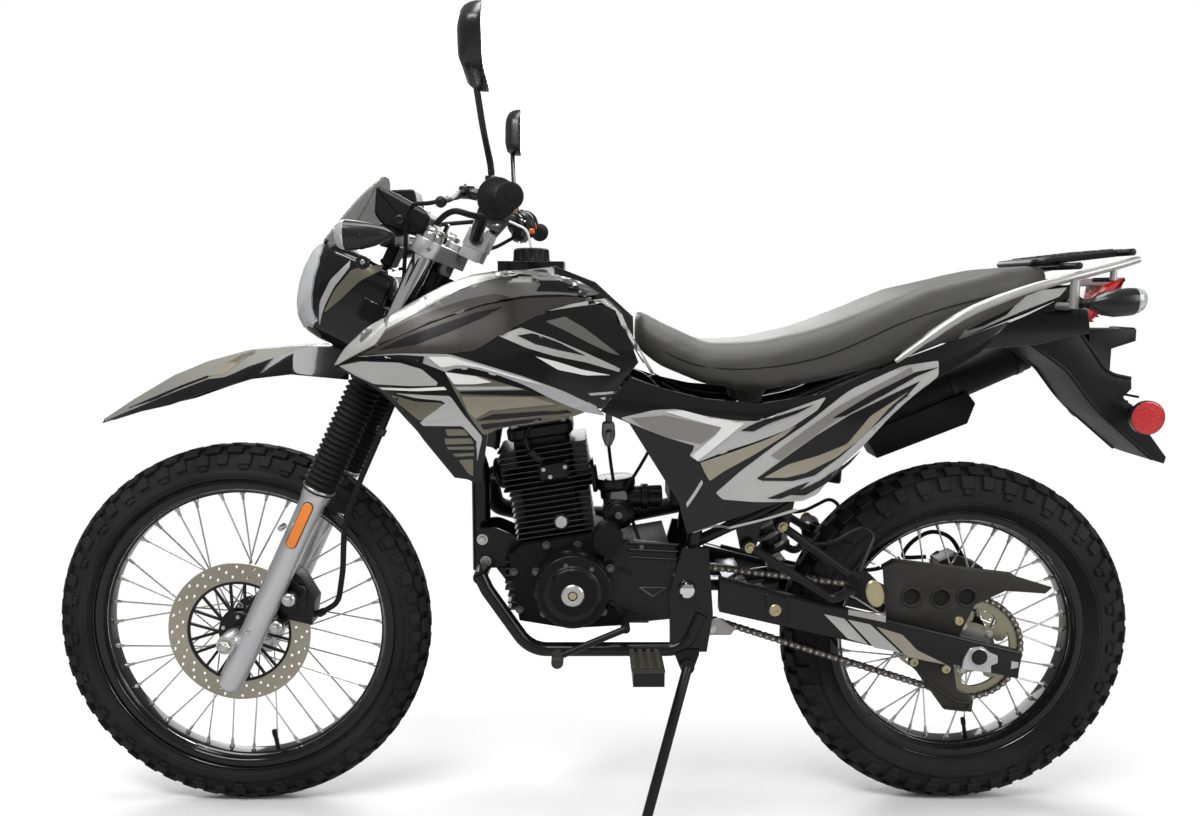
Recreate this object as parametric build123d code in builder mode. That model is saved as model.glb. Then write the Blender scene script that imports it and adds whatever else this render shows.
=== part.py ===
from build123d import *
from math import acos, atan2, cos, pi, radians, sin, sqrt, tan
import os

os.makedirs("parts", exist_ok=True)

# Dual sport motorcycle, millimetres. It is modelled upright: +X forward, +Y to its left, +Z up,
# the ground at Z = 0 and X = 0 midway between the axles. Finished pieces are then leaned
# together onto the side stand.

# ---- whole machine ----
TAIL_INNER = 89.0  # inside half width of the tail fairing
WHEELBASE = 1335.0
LEAN = 8.0  # degrees, to its left, as it parks
RAKE = 25.5  # degrees, steering axis from vertical
FORK_OFFSET = 27.0  # steering axis to the plane of the fork legs
AXLE_LEAD = 32.0  # front axle ahead of the fork legs
FORK_HALF_SPREAD = 95.0  # fork leg to centre plane
SEAT_GAP = 0.3  # between pieces that rest on each other
RUN_GAP = 0.4  # around turning shafts

# ---- wheels ----
FRONT_RADIUS = 345.0
FRONT_TYRE_HALF = 43.0
FRONT_RIM_SEAT = 267.0  # bead seat radius, 21 inch
REAR_RADIUS = 328.0
REAR_TYRE_HALF = 54.0
REAR_RIM_SEAT = 228.0  # bead seat radius, 18 inch
LUG_COUNT = 36
LUG_HEIGHT = 7.0
LUG_SHARE = 0.46  # of the pitch
MIDDLE_LUG_SHARE = 0.28  # of the tyre's half width
SHOULDER_LUG_SHARES = (0.38, 0.86)
RIM_FLANGE = 13.0  # flange height over the bead seat
RIM_WALL = 3.0
FRONT_RIM_HALF = 26.0
REAR_RIM_HALF = 32.0
RIM_DEPTH = 15.0  # well below the bead seat
SPOKE_COUNT = 36
SPOKE_RADIUS = 1.9
HUB_FLANGE_HALF = 33.0
AXLE_RADIUS = 8.0

# ---- brakes and final drive ----
FRONT_DISC_RADIUS = 130.0
REAR_DISC_RADIUS = 110.0
DISC_HOLE_RADIUS = 3.2
DISC_THICKNESS = 4.0
DISC_BAND = 34.0
FRONT_DISC_Y = 47.0
REAR_DISC_Y = -62.0
CHAIN_Y = 84.0
CHAIN_HALF_WIDTH = 7.0
CHAIN_SEAT = 0.5  # chain to sprocket rim
CHAIN_HALF_HEIGHT = 6.5
CHAIN_WAIST = 2.2  # drop in height between two link plates
CHAIN_STATIONS = 116
REAR_PITCH_RADIUS = 93.0
FRONT_PITCH_RADIUS = 36.0
SPROCKET_THICKNESS = 6.0
CARRIER_START = 41.0
FRONT_SPROCKET = (-88.0, 455.0)  # x, z

# ---- frame ----
PIVOT = (-151.0, 444.0)  # swing arm pivot, x, z
PIVOT_BOLT_RADIUS = 9.0
TUBE_RADIUS = 12.5
DOWN_TUBE_RADIUS = 17.0
BACKBONE_RADIUS = 22.0
HEAD_TUBE_RADIUS = 29.0
HEAD_TUBE_LOW = 612.0  # along the steering axis
HEAD_TUBE_HIGH = 752.0
STEM_RADIUS = 14.0

STAND_PIVOT = Vector(-150.0, 124.0, 309.0)
STAND_AXIS_TILT = 12.7  # degrees, outer end raised, so that the leg tucks in when folded
STAND_PIN_RADIUS = 6.0
STAND = Plane(
    origin=STAND_PIVOT,
    x_dir=(1, 0, 0),
    z_dir=(0, cos(radians(STAND_AXIS_TILT)), sin(radians(STAND_AXIS_TILT))),
)

FRONT_AXLE = (WHEELBASE / 2, 0, FRONT_RADIUS)
REAR_AXLE = (-WHEELBASE / 2, 0, REAR_RADIUS)
STEER_X = Vector(cos(radians(RAKE)), 0, sin(radians(RAKE)))
STEER_Z = Vector(-sin(radians(RAKE)), 0, cos(radians(RAKE)))
STEER = Plane(
    origin=Vector(*FRONT_AXLE) - STEER_X * (FORK_OFFSET + AXLE_LEAD),
    x_dir=STEER_X,
    z_dir=STEER_Z,
)  # local: u forward, y left, w up along the steering axis, w = 0 level with the axle

CONTACT_SINK = REAR_TYRE_HALF * (1 - cos(radians(LEAN)))
PARKED = Location((0, 0, CONTACT_SINK)) * Location((0, 0, 0), (-LEAN, 0, 0))
FLOOR = Plane(
    origin=(0, 0, -CONTACT_SINK / cos(radians(LEAN))),
    x_dir=(1, 0, 0),
    z_dir=(0, -sin(radians(LEAN)), cos(radians(LEAN))),
)


def on_steer(u, y, w):
    """A point given in the steering frame, as a point of the upright machine."""
    return STEER.from_local_coords(Vector(u, y, w))


def side(y=0.0):
    """Side-view sketch plane: local x is forward, local y is up."""
    return Plane(origin=(0, y, 0), x_dir=(1, 0, 0), z_dir=(0, -1, 0))


def steer_side(y=0.0):
    """Side-view sketch plane in the steering frame: local x is u, local y is w."""
    return Plane(origin=on_steer(0, y, 0), x_dir=STEER_X, z_dir=(0, -1, 0))


def slab(outline, y_low, y_high, mode=Mode.ADD, plane=side):
    """A flat piece cut to a side-view outline, between two distances from the centre."""
    with BuildSketch(plane((y_low + y_high) / 2)) as face:
        Polygon(*outline, align=None)
    extrude(face.sketch, amount=(y_high - y_low) / 2, both=True, mode=mode)


def from_front(points):
    """Side-view points given from the front axle."""
    return [(FRONT_AXLE[0] + x, FRONT_AXLE[2] + z) for x, z in points]


def from_rear(points):
    """Side-view points given from the rear axle."""
    return [(REAR_AXLE[0] + x, REAR_AXLE[2] + z) for x, z in points]


def rod(start, end, radius, mode=Mode.ADD):
    """A round bar between two points."""
    along = Vector(*end) - Vector(*start)
    with BuildSketch(Plane(origin=Vector(*start), z_dir=along)) as face:
        Circle(radius)
    extrude(face.sketch, amount=along.length, mode=mode)


def cross_rod(x, z, y_low, y_high, radius, mode=Mode.ADD):
    """A round bar across the machine."""
    rod((x, y_low, z), (x, y_high, z), radius, mode)


def bent_rod(points, bends, radius):
    """A round bar of straight runs joined by tangent arcs, one bend radius for each corner."""
    with BuildLine() as route:
        FilletPolyline(*points, radius=bends)
    with BuildSketch(Plane(origin=route.line @ 0, z_dir=route.line % 0)) as face:
        Circle(radius)
    sweep(sections=face.sketch, path=route.line)


def block(x_low, x_high, y_low, y_high, z_low, z_high, mode=Mode.ADD):
    """A rectangular block between limits."""
    centre = ((x_low + x_high) / 2, (y_low + y_high) / 2, (z_low + z_high) / 2)
    with Locations(centre):
        Box(x_high - x_low, y_high - y_low, z_high - z_low, mode=mode)


def steer_block(u_low, u_high, y_low, y_high, w_low, w_high, mode=Mode.ADD):
    """A rectangular block between limits in the steering frame."""
    with BuildSketch(STEER.offset(w_low)) as face:
        with Locations(((u_low + u_high) / 2, (y_low + y_high) / 2)):
            Rectangle(u_high - u_low, y_high - y_low)
    extrude(face.sketch, amount=w_high - w_low, mode=mode)


def ruled_body(sections, mode=Mode.ADD):
    """Flat facets through closed outlines, each a list of points in space."""
    faces = []
    for points in sections:
        faces.append(Face(Wire.make_polygon([Vector(*p) for p in points], close=True)))
    loft(sections=faces, ruled=True, mode=mode)


def mirrored_y(points, sign):
    """Points on the left side as given, or on the right side."""
    return [(x, sign * y, z) for x, y, z in points]


def turned(axle, points, mode=Mode.ADD):
    """A ring turned about an axle from (distance along it, radius) corners."""
    with BuildSketch(Plane(origin=axle, x_dir=(0, 1, 0), z_dir=(1, 0, 0))) as face:
        Polygon(*points, align=None)
    revolve(face.sketch, axis=Axis(axle, (0, 1, 0)), mode=mode)


def ring_outline(axle, y, radius):
    """Points of a regular polygon about a wheel's axle, its corners clear of both rows of lugs."""
    corner = radius / cos(pi / LUG_COUNT)
    turns = [2 * pi * (index + 0.25) / LUG_COUNT - pi / 2 for index in range(LUG_COUNT)]
    return [(axle[0] + corner * cos(turn), y, axle[2] + corner * sin(turn)) for turn in turns]


def lug_outline(axle, y, tip, root, turn):
    """Points of a toothed outline about a wheel's axle, one flat-topped tooth for each lug."""
    pitch = 2 * pi / LUG_COUNT
    corner = tip / cos(LUG_SHARE / 2 * pitch)
    points = []
    for index in range(LUG_COUNT):
        middle = turn + pitch * index
        for radius, shift in ((root, -1), (corner, -1), (corner, 1), (root, 1)):
            angle = middle + shift * LUG_SHARE / 2 * pitch
            points.append((axle[0] + radius * cos(angle), y, axle[2] + radius * sin(angle)))
    return points


def crown_drop(half, y):
    """How far a tyre's round crown has fallen at a distance from its middle."""
    return half - sqrt(half * half - y * y)


def lugged_tyre(axle, radius, half, seat, rim_half):
    """A faceted tyre with a middle row and two shoulder rows of lugs."""
    carcass = radius - LUG_HEIGHT
    deep = carcass - crown_drop(half, half * 0.9)
    middle = half * MIDDLE_LUG_SHARE
    lean = radians(LEAN)
    edge = radius - middle * tan(lean) + half * (1 / cos(lean) - 1)  # meets the floor when parked
    ruled_body([lug_outline(axle, y, edge, deep, -pi / 2) for y in (-middle, middle)])
    for sign in (1, -1):
        row = [(share * half, radius - crown_drop(half, share * half)) for share in SHOULDER_LUG_SHARES]
        ruled_body([lug_outline(axle, sign * y, tip, deep, pi / LUG_COUNT - pi / 2) for y, tip in row])
    ruled_body([ring_outline(axle, y, radius - half) for y in (-half, half)], mode=Mode.SUBTRACT)
    profile = [
        (rim_half - RIM_WALL - SEAT_GAP, seat + RIM_FLANGE + SEAT_GAP),
        (half, radius - half),
        (half * 0.9, carcass - crown_drop(half, half * 0.9)),
        (half * 0.33, carcass - crown_drop(half, half * 0.33)),
    ]
    rings = profile + [(-y, r) for y, r in reversed(profile)]
    ruled_body([ring_outline(axle, y, r) for y, r in rings])
    ruled_body([ring_outline(axle, y, seat + SEAT_GAP) for y in (-half, half)], mode=Mode.SUBTRACT)


def rim_points(seat, half):
    """Corners of a rim's section: flanges, bead seats and a well."""
    flange = seat + RIM_FLANGE
    well = seat - RIM_DEPTH
    return [
        (half, flange),
        (half - RIM_WALL, flange),
        (half - RIM_WALL, seat),
        (half * 0.45, seat - RIM_WALL),
        (half * 0.35, well + RIM_WALL),
        (0, well + RIM_WALL),
        (0, well),
        (half * 0.45, well),
        (half * 0.6, seat - 2 * RIM_WALL),
        (half, seat - RIM_WALL),
    ]


def wire_wheel(axle, seat, rim_half, hub_radius, flange_radius, left_end, right_end):
    """Rim, hub and crossed spokes as one laced wheel."""
    half_rim = rim_points(seat, rim_half)
    section = half_rim[:5] + [(-y, r) for y, r in reversed(half_rim[:5])]
    section += [(-y, r) for y, r in half_rim[7:][::-1]] + half_rim[7:]
    turned(axle, section)
    bore = AXLE_RADIUS + RUN_GAP
    flank_points = [
        (HUB_FLANGE_HALF - 6, hub_radius),
        (HUB_FLANGE_HALF - 3, flange_radius),
        (HUB_FLANGE_HALF + 3, flange_radius),
        (HUB_FLANGE_HALF + 3, hub_radius * 0.8),
    ]
    left = flank_points + [(left_end, hub_radius * 0.8), (left_end, bore)]
    right = flank_points + [(right_end, hub_radius * 0.8), (right_end, bore)]
    turned(axle, [(0, hub_radius * 0.72)] + left + [(-y, r) for y, r in reversed(right)])
    reach = seat - RIM_DEPTH + 1.0
    hole = flange_radius - 5.0
    swing = radians(62.0)
    ends = []
    for index in range(SPOKE_COUNT):
        turn = 2 * pi * index / SPOKE_COUNT
        flank = 1 if index % 2 else -1
        lead = swing if index % 4 < 2 else -swing
        start = turn + lead
        inset = 1.2 if index % 4 < 2 else -1.2
        foot = (
            axle[0] + hole * cos(start),
            flank * (HUB_FLANGE_HALF + inset),
            axle[2] + hole * sin(start),
        )
        head = (axle[0] + reach * cos(turn), flank * 4.0, axle[2] + reach * sin(turn))
        along = Vector(*head) - Vector(*foot)
        with BuildSketch(Plane(origin=Vector(*foot), z_dir=along)) as end:
            Circle(SPOKE_RADIUS)
        ends.extend(end.sketch.faces())
    extrude(ends, amount=along.length)


# ================= frame =================
with BuildPart() as frame:
    rod(on_steer(0, 0, HEAD_TUBE_LOW), on_steer(0, 0, HEAD_TUBE_HIGH), HEAD_TUBE_RADIUS)
    bent_rod(
        [on_steer(-12, 0, 668), (20, 0, 838), (-70, 0, 800), (-150, 0, 700)],
        [300, 70],
        BACKBONE_RADIUS,
    )
    cross_rod(-150, 700, -82, 82, TUBE_RADIUS)
    for sign in (1, -1):
        bent_rod(
            mirrored_y([(-150, 74, 705), (-175, 80, 620), (-160, 84, 507)], sign),
            [60],
            TUBE_RADIUS,
        )
        bent_rod(
            mirrored_y([(-130, 62, 722), (-360, 68, 770), (-760, 74, 930)], sign),
            [200],
            TUBE_RADIUS,
        )
        bent_rod(
            mirrored_y([(-165, 82, 524), (-330, 80, 602), (-560, 72, 840)], sign),
            [200],
            TUBE_RADIUS - 2.5,
        )
        slab([(-300, 580), (-340, 604), (-330, 548), (-305, 548)], sign * 87 - 5, sign * 87 + 5)
        slab([(-236, 552), (-284, 570), (-272, 511), (-246, 511)], sign * 87 - 5, sign * 87 + 5)
    cross_rod(-740, 922, -TAIL_INNER + SEAT_GAP, TAIL_INNER - SEAT_GAP, TUBE_RADIUS - 2.5)
    cross_rod(-244, 742, -66, 66, TUBE_RADIUS - 2.5)
    slab([(-230, 745), (-262, 740), (-262, 700), (-238, 700)], -12, 12)
    rod(on_steer(0, 0, 600), on_steer(0, 0, 765), STEM_RADIUS + RUN_GAP, mode=Mode.SUBTRACT)
frame.part.label = "frame"

with BuildPart() as frame_cradle:
    bent_rod([on_steer(-40, 0, 634), (226, 0, 640), (226, 0, 450)], [90], DOWN_TUBE_RADIUS)
    rod(on_steer(0, 0, 560), on_steer(0, 0, 760), HEAD_TUBE_RADIUS + SEAT_GAP, mode=Mode.SUBTRACT)
    cross_rod(219, 462, -96, 96, TUBE_RADIUS)
    for sign in (1, -1):
        bent_rod(
            mirrored_y(
                [(219, 92, 466), (206, 96, 440), (130, 104, 333), (-145, 104, 333), (-175, 104, 400)],
                sign,
            ),
            [40, 60, 45],
            TUBE_RADIUS,
        )
        outer = [(-120, 330), (-186, 330), (-196, 400), (-186, 520), (-140, 520), (-118, 440)]
        slab(outer, sign * 104 - 6, sign * 104 + 6)
    cross_rod(-150, 352, -100, 100, TUBE_RADIUS)
    slab([(226, 500), (226, 455), (162.4, 457), (167.7, 490)], -14, 14)
    with BuildSketch(STAND.offset(-12)) as lug:
        Circle(13)
        with Locations((0, -24)):
            Rectangle(44, 8)
        make_hull()
    extrude(lug.sketch, amount=8)
    with BuildSketch(STAND.offset(-30)) as bolt_hole:
        Circle(STAND_PIN_RADIUS + RUN_GAP)
    extrude(bolt_hole.sketch, amount=60, mode=Mode.SUBTRACT)
    cross_rod(PIVOT[0], PIVOT[1], -120, 120, PIVOT_BOLT_RADIUS + SEAT_GAP, mode=Mode.SUBTRACT)
frame_cradle.part.label = "frame_cradle"

# ================= engine =================
CASE_HALF = 86.0
CYLINDER_TILT = 9.0
CYLINDER_BASE = (84.0, 0.0, 528.0)
FIN_PITCH = 11.5
FIN_COUNT = 15
FIN_THICKNESS = 3.0
EXHAUST_PORT = Vector(188, -40, 627)
PORT_RUN = Vector(32, -6, -10).normalized()
HEADER_RADIUS = 17.0
INLET_HEIGHT = 93.5
INLET_REACH = 90.0
HEADER_END = Vector(-430, -146, 650)
MUFFLER_RUN = Vector(-130, -6, 78).normalized()

CYLINDER = Plane(
    origin=CYLINDER_BASE,
    x_dir=(cos(radians(CYLINDER_TILT)), 0, -sin(radians(CYLINDER_TILT))),
    z_dir=(sin(radians(CYLINDER_TILT)), 0, cos(radians(CYLINDER_TILT))),
)
deck = [CYLINDER.from_local_coords(Vector(u, 0, -SEAT_GAP)) for u in (62, -58)]

with BuildPart() as engine_case:
    slab(
        [
            (150, 380), (168, 496), *[(point.X, point.Z) for point in deck], (-60, 512), (-118, 522),
            (-118, 400), (-60, 372), (60, 365),
        ],
        -CASE_HALF,
        CASE_HALF,
    )
    cross_rod(52, 451, CASE_HALF - 5, 142, 62)
    cross_rod(52, 451, 140, 150, 40)
    cross_rod(-8, 538, 72, 128, 25)
    slab([(-5, 500), (-128, 505), (-126, 396), (0, 380)], CASE_HALF - 5, 97.5)
    cross_rod(60, 438, -134, -CASE_HALF + 5, 60)
    cross_rod(-60, 440, -120, -CASE_HALF + 5, 44)
    block(-140, -40, CHAIN_Y - 13, CHAIN_Y + 9.5, 370, 508, mode=Mode.SUBTRACT)
    cross_rod(FRONT_SPROCKET[0], FRONT_SPROCKET[1], 60, CHAIN_Y + 3, 12)
    cross_rod(
        FRONT_SPROCKET[0],
        FRONT_SPROCKET[1],
        CHAIN_Y - 3,
        CHAIN_Y + 3,
        FRONT_PITCH_RADIUS - CHAIN_HALF_HEIGHT - CHAIN_SEAT,
    )
engine_case.part.label = "engine_case"

with BuildPart() as engine_cylinder:
    with BuildSketch(CYLINDER) as barrel:
        Rectangle(112, 108)
    extrude(barrel.sketch, amount=FIN_PITCH * FIN_COUNT + 20)
    for level in range(FIN_COUNT):
        grow = 0 if level < 6 else 1
        with BuildSketch(CYLINDER.offset(6 + level * FIN_PITCH)) as fin:
            Rectangle(146 + 16 * grow, 138 + 12 * grow)
        extrude(fin.sketch, amount=FIN_THICKNESS)
    with BuildSketch(CYLINDER.offset(FIN_PITCH * FIN_COUNT + 8)) as cover:
        Rectangle(120, 116)
    extrude(cover.sketch, amount=26)
    rod(
        CYLINDER.from_local_coords(Vector(-50, 12, INLET_HEIGHT)),
        CYLINDER.from_local_coords(Vector(-INLET_REACH, 12, INLET_HEIGHT)),
        18,
    )
    rod(EXHAUST_PORT - PORT_RUN * 50, EXHAUST_PORT - PORT_RUN * SEAT_GAP, 21)
engine_cylinder.part.label = "engine_cylinder"

with BuildPart() as carburettor:
    inlet = [CYLINDER.from_local_coords(Vector(-u, 12, INLET_HEIGHT)) for u in (INLET_REACH + SEAT_GAP, 140)]
    rod(inlet[0], inlet[1], 18)
    rod(inlet[1] + Vector(8, 0, 0), (-124, 12, inlet[1].Z), 20)
    rod((-42, 12, 566), (-42, 12, 678), 27)
    block(-206, -120, -58, 58, 580, 680)
carburettor.part.label = "carburettor"

with BuildPart() as exhaust_header:
    bent_rod(
        [
            EXHAUST_PORT, EXHAUST_PORT + PORT_RUN * 30, (206, -68, 556), (150, -112, 531),
            (-40, -128, 522), (-300, -138, 572), HEADER_END,
        ],
        [18, 40, 60, 160, 160],
        HEADER_RADIUS,
    )
exhaust_header.part.label = "exhaust_header"

with BuildPart() as muffler:
    cone_start = HEADER_END + MUFFLER_RUN * SEAT_GAP
    can_start = HEADER_END + MUFFLER_RUN * 140
    rod(cone_start, can_start, 32)
    rod(can_start, (-840, -150, 853), 38)
    slab([(-548, 642), (-724, 712), (-738, 752), (-720, 775), (-520, 690)], -182, -112)
muffler.part.label = "muffler"

# ================= tank, shrouds, seat, panels =================
TANK_HALF = 118.0
# x, bottom z, side top z, top z, top half width
tank_sections = [
    (246, 868, 905, 950, 52),
    (188, 842, 915, 1000, 74),
    (85, 838, 915, 1012, 78),
    (15, 832, 900, 985, 72),
    (-52, 828, 870, 925, 52),
]


def tank_outline(x, low, shoulder, top, half_top):
    """One section across the tank, flat sides under a sloped shoulder."""
    flank = TANK_HALF if -40 < x < 240 else TANK_HALF - 22
    left = [(x, 40, low), (x, flank, low + 8), (x, flank, shoulder), (x, half_top, top)]
    return left + [(x, -y, z) for x, y, z in reversed(left)]


with BuildPart() as fuel_tank:
    ruled_body([tank_outline(*row) for row in tank_sections])
    block(70, 186, -58, 58, 990, 1021)
    slab([(260, 800), (260, 925), (0, 880), (-70, 850), (-70, 800)], -30, 30, mode=Mode.SUBTRACT)
    block(140, 165, -30, 30, 900.2, 912)
fuel_tank.part.label = "fuel_tank"

with BuildPart() as fuel_cap:
    rod((130, 0, 1021 + SEAT_GAP), (130, 0, 1046), 35)
    rod((130, 0, 1045), (130, 0, 1054), 12)
fuel_cap.part.label = "fuel_cap"

SHROUD_WALL = 10.0
shroud_outline = [
    (445, 846), (356, 929), (188, 1002), (60, 990), (-36, 905), (-58, 850),
    (3, 772), (32, 776), (193, 738), (207, 652), (250, 659), (298, 724), (347, 798),
]
# x, then the outer half width at each level of shroud_levels
shroud_levels = (1010, 940, 870, 770, 640)
shroud_sections = [
    (460, 140, 148, 158, 158, 150),
    (300, 140, 152, 182, 190, 176),
    (150, 122, 146, 170, 176, 160),
    (-60, 96, 122, 132, 132, 130),
]


def shroud_section(x, widths, sign):
    """A bent strip across the shroud at one station."""
    outer = [(x, sign * w, z) for w, z in zip(widths, shroud_levels)]
    inner = [(x, sign * (w - SHROUD_WALL), z) for w, z in zip(widths, shroud_levels)]
    return outer + inner[::-1]


with BuildPart() as tank_shrouds:
    for sign in (1, -1):
        ruled_body([shroud_section(x, widths, sign) for x, *widths in shroud_sections])
    slab(shroud_outline, -260, 260, mode=Mode.INTERSECT)
    for sign in (1, -1):
        for x, outer in ((80, 148), (165, 161)):
            rod((x, sign * (TANK_HALF + SEAT_GAP), 884), (x, sign * outer, 884), 9)
tank_shrouds.part.label = "tank_shrouds"

# x, low z, top z, low half width, top half width
seat_sections = [
    (-62, 872, 934, 62, 48),
    (-100, 842, 912, 84, 60),
    (-178, 812, 877, 108, 84),
    (-263, 802, 880, 120, 98),
    (-366, 818, 903, 126, 108),
    (-451, 842, 936, 128, 112),
    (-541, 872, 973, 124, 110),
    (-690, 936, 1008, 108, 94),
    (-775, 984, 1016, 82, 66),
]
with BuildPart() as seat:
    outlines = []
    for x, low, top, half_low, half_top in seat_sections:
        left = [(x, half_low, low), (x, half_low, top - 24), (x, half_top, top)]
        outlines.append(left + [(x, -y, z) for x, y, z in reversed(left)])
    ruled_body(outlines)
    for sign in (1, -1):
        block(-280, -240, sign * 66 - 10, sign * 66 + 10, 766.6, 806)
        block(-610, -590, sign * 72 - 10, sign * 72 + 10, 884.4, 906)
seat.part.label = "seat"

panel_outline = [
    (-44, 826), (-100, 806), (-170, 790), (-263, 782), (-366, 798), (-506, 856), (-690, 920),
    (-640, 868), (-500, 785), (-383, 653), (-314, 618), (-143, 558), (-128, 612), (-42, 748),
    (6, 768),
]
with BuildPart() as side_panels:
    for sign in (1, -1):
        ruled_body(
            [
                [(x, sign * y, z) for y, z in ((a, 940), (b, 760), (c, 550), (c - 8, 550), (b - 8, 760), (a - 8, 940))]
                for x, a, b, c in ((20, 134, 146, 150), (-260, 134, 156, 158), (-700, 120, 140, 140))
            ]
        )
    slab(panel_outline, -260, 260, mode=Mode.INTERSECT)
    for sign in (1, -1):
        for x, z, inner, outer in ((-250, 747, 78.2, 152), (-545, 840, 84.4, 131), (-168, 590, 94.6, 151)):
            rod((x, sign * inner, z), (x, sign * outer, z), 8)
side_panels.part.label = "side_panels"

tail_outline = [(-522, 850), (-690, 918), (-776, 960), (-806, 984), (-838, 946), (-845, 900), (-755, 880), (-620, 868)]
with BuildPart() as tail_fairing:
    slab(tail_outline, -96, 96)
    slab([(x + 40 if x < -780 else x, z) for x, z in [(-480, 700), (-480, 1000), (-816, 1000), (-826, 880), (-830, 700)]], -TAIL_INNER, TAIL_INNER, mode=Mode.SUBTRACT)
tail_fairing.part.label = "tail_fairing"

with BuildPart() as grab_rails:
    for sign in (1, -1):
        bent_rod(
            mirrored_y(
                [(-492, 152, 860), (-590, 152, 944), (-780, 150, 996), (-905, 120, 1026)], sign
            ),
            [120, 300],
            9.0,
        )
        rod((-770, sign * 150, 990), (-770, sign * 150, 941), 7)
        rod((-770, sign * 150, 947), (-770, sign * 96.3, 947), 6)
grab_rails.part.label = "grab_rails"

RACK_PITCH_RADIUS = 40.0
RACK_HOLE_RADIUS = 3.3
RACK_ROD = 6.0
RACK_TOP = Plane(origin=(-831, 0, 1038), x_dir=(118, 0, -14), z_dir=(14, 0, 118))
with BuildPart() as luggage_rack:
    for sign in (1, -1):
        bent_rod(
            mirrored_y([(-752, 20, 1022), (-752, 82, 1022), (-905, 82, 1040), (-905, 20, 1040)], sign),
            [18, 18],
            RACK_ROD,
        )
    cross_rod(-752, 1022, -24, 24, RACK_ROD)
    cross_rod(-905, 1040, -24, 24, RACK_ROD)
    slab([(-772, 1025), (-890, 1039), (-890, 1045), (-772, 1031)], -82, 82)
    cross_rod(-790, 1008.5 + RACK_ROD, -149, 149, RACK_ROD)
    cross_rod(-890, 1032.3 + RACK_ROD, -128, 128, RACK_ROD)
    with BuildSketch(RACK_TOP) as holes:
        with PolarLocations(RACK_PITCH_RADIUS, 4, start_angle=45):
            Circle(RACK_HOLE_RADIUS)
    extrude(holes.sketch, amount=20, both=True, mode=Mode.SUBTRACT)
luggage_rack.part.label = "luggage_rack"

with BuildPart() as rear_lamps:
    slab([(-838.6, 946.5), (-845, 904), (-905, 960), (-918, 1000), (-880, 985)], -70, 70)
    for sign in (1, -1):
        rod((-806, sign * 96.3, 952), (-806, sign * 165, 952), 7)
        slab([(-790, 965), (-802, 940), (-838, 930), (-882, 948), (-870, 976)], sign * 185 - 22, sign * 185 + 22)
        cross_rod(-948, 754, min(sign * 96.3, sign * 112), max(sign * 96.3, sign * 112), 30)
rear_lamps.part.label = "rear_lamps"

with BuildPart() as rear_fender:
    slab(
        [
            (-755, 879.6), (-845, 899.6), (-900, 826), (-942, 820), (-944, 800), (-930, 785),
            (-1016, 676), (-1013, 664), (-990, 672), (-880, 762), (-828, 829), (-800, 850),
        ],
        -62,
        62,
    )
    slab([(-872, 905), (-958, 905), (-958, 884), (-915, 870), (-915, 815), (-880, 815)], -40, 40)
    cross_rod(-948, 754, -96, 96, 6)
rear_fender.part.label = "rear_fender"

# ================= rear suspension and drive =================
arm_outline = [
    (PIVOT[0] - 54, PIVOT[1] + 24), *from_rear([(-78.5, 4), (-74.5, -43)]), (PIVOT[0] - 54, PIVOT[1] - 35),
]
with BuildPart() as swingarm:
    for sign in (1, -1):
        slab(arm_outline, sign * 112 - 12, sign * 112 + 12)
    block(-262, -222, -110, 110, 410, 446)
    for sign in (1, -1):
        block(-230, PIVOT[0], sign * 46 - 10, sign * 46 + 10, 426, 446)
    cross_rod(REAR_AXLE[0], REAR_AXLE[2], -128, 128, AXLE_RADIUS)
    cross_rod(REAR_AXLE[0], REAR_AXLE[2], 122, 132, 14)
    cross_rod(REAR_AXLE[0], REAR_AXLE[2], -132, -122, 14)
    cross_rod(REAR_AXLE[0], REAR_AXLE[2], -100.5, -72, 15)
    cross_rod(REAR_AXLE[0], REAR_AXLE[2], 96, 100.5, 15)
    cross_rod(PIVOT[0], PIVOT[1], -97.7, 97.7, 19)
    cross_rod(PIVOT[0], PIVOT[1], -119, 119, PIVOT_BOLT_RADIUS)
    for sign in (1, -1):
        cross_rod(PIVOT[0], PIVOT[1], sign * 114.65 - 4.35, sign * 114.65 + 4.35, 15)
    slab([(-300, 420), (-330, 420), (-345, 470), (-315, 470)], -16, 16)
    rod((-255, 0, 430), (-320, 0, 440), 16)
swingarm.part.label = "swingarm"

with BuildPart() as rear_shock:
    rod((-328, 0, 474.5), (-252, 0, 696.4), 10)
    rod((-322, 0, 489), (-258, 0, 667), 33)
rear_shock.part.label = "rear_shock"

with BuildPart() as rear_caliper:
    slab(from_rear([(12.5, 124), (-19.5, 138), (-72.5, 112), (-76.5, 70), (-32.5, 72), (7.5, 92)]), -88, -40)
    cross_rod(REAR_AXLE[0], REAR_AXLE[2], REAR_DISC_Y - 4, REAR_DISC_Y + 4, REAR_DISC_RADIUS + 3, mode=Mode.SUBTRACT)
    slab(from_rear([(12.5, 112), (-72.5, 112), (-52.5, -6), (-24.5, -10)]), -99.7, -86)
rear_caliper.part.label = "rear_caliper"

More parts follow.
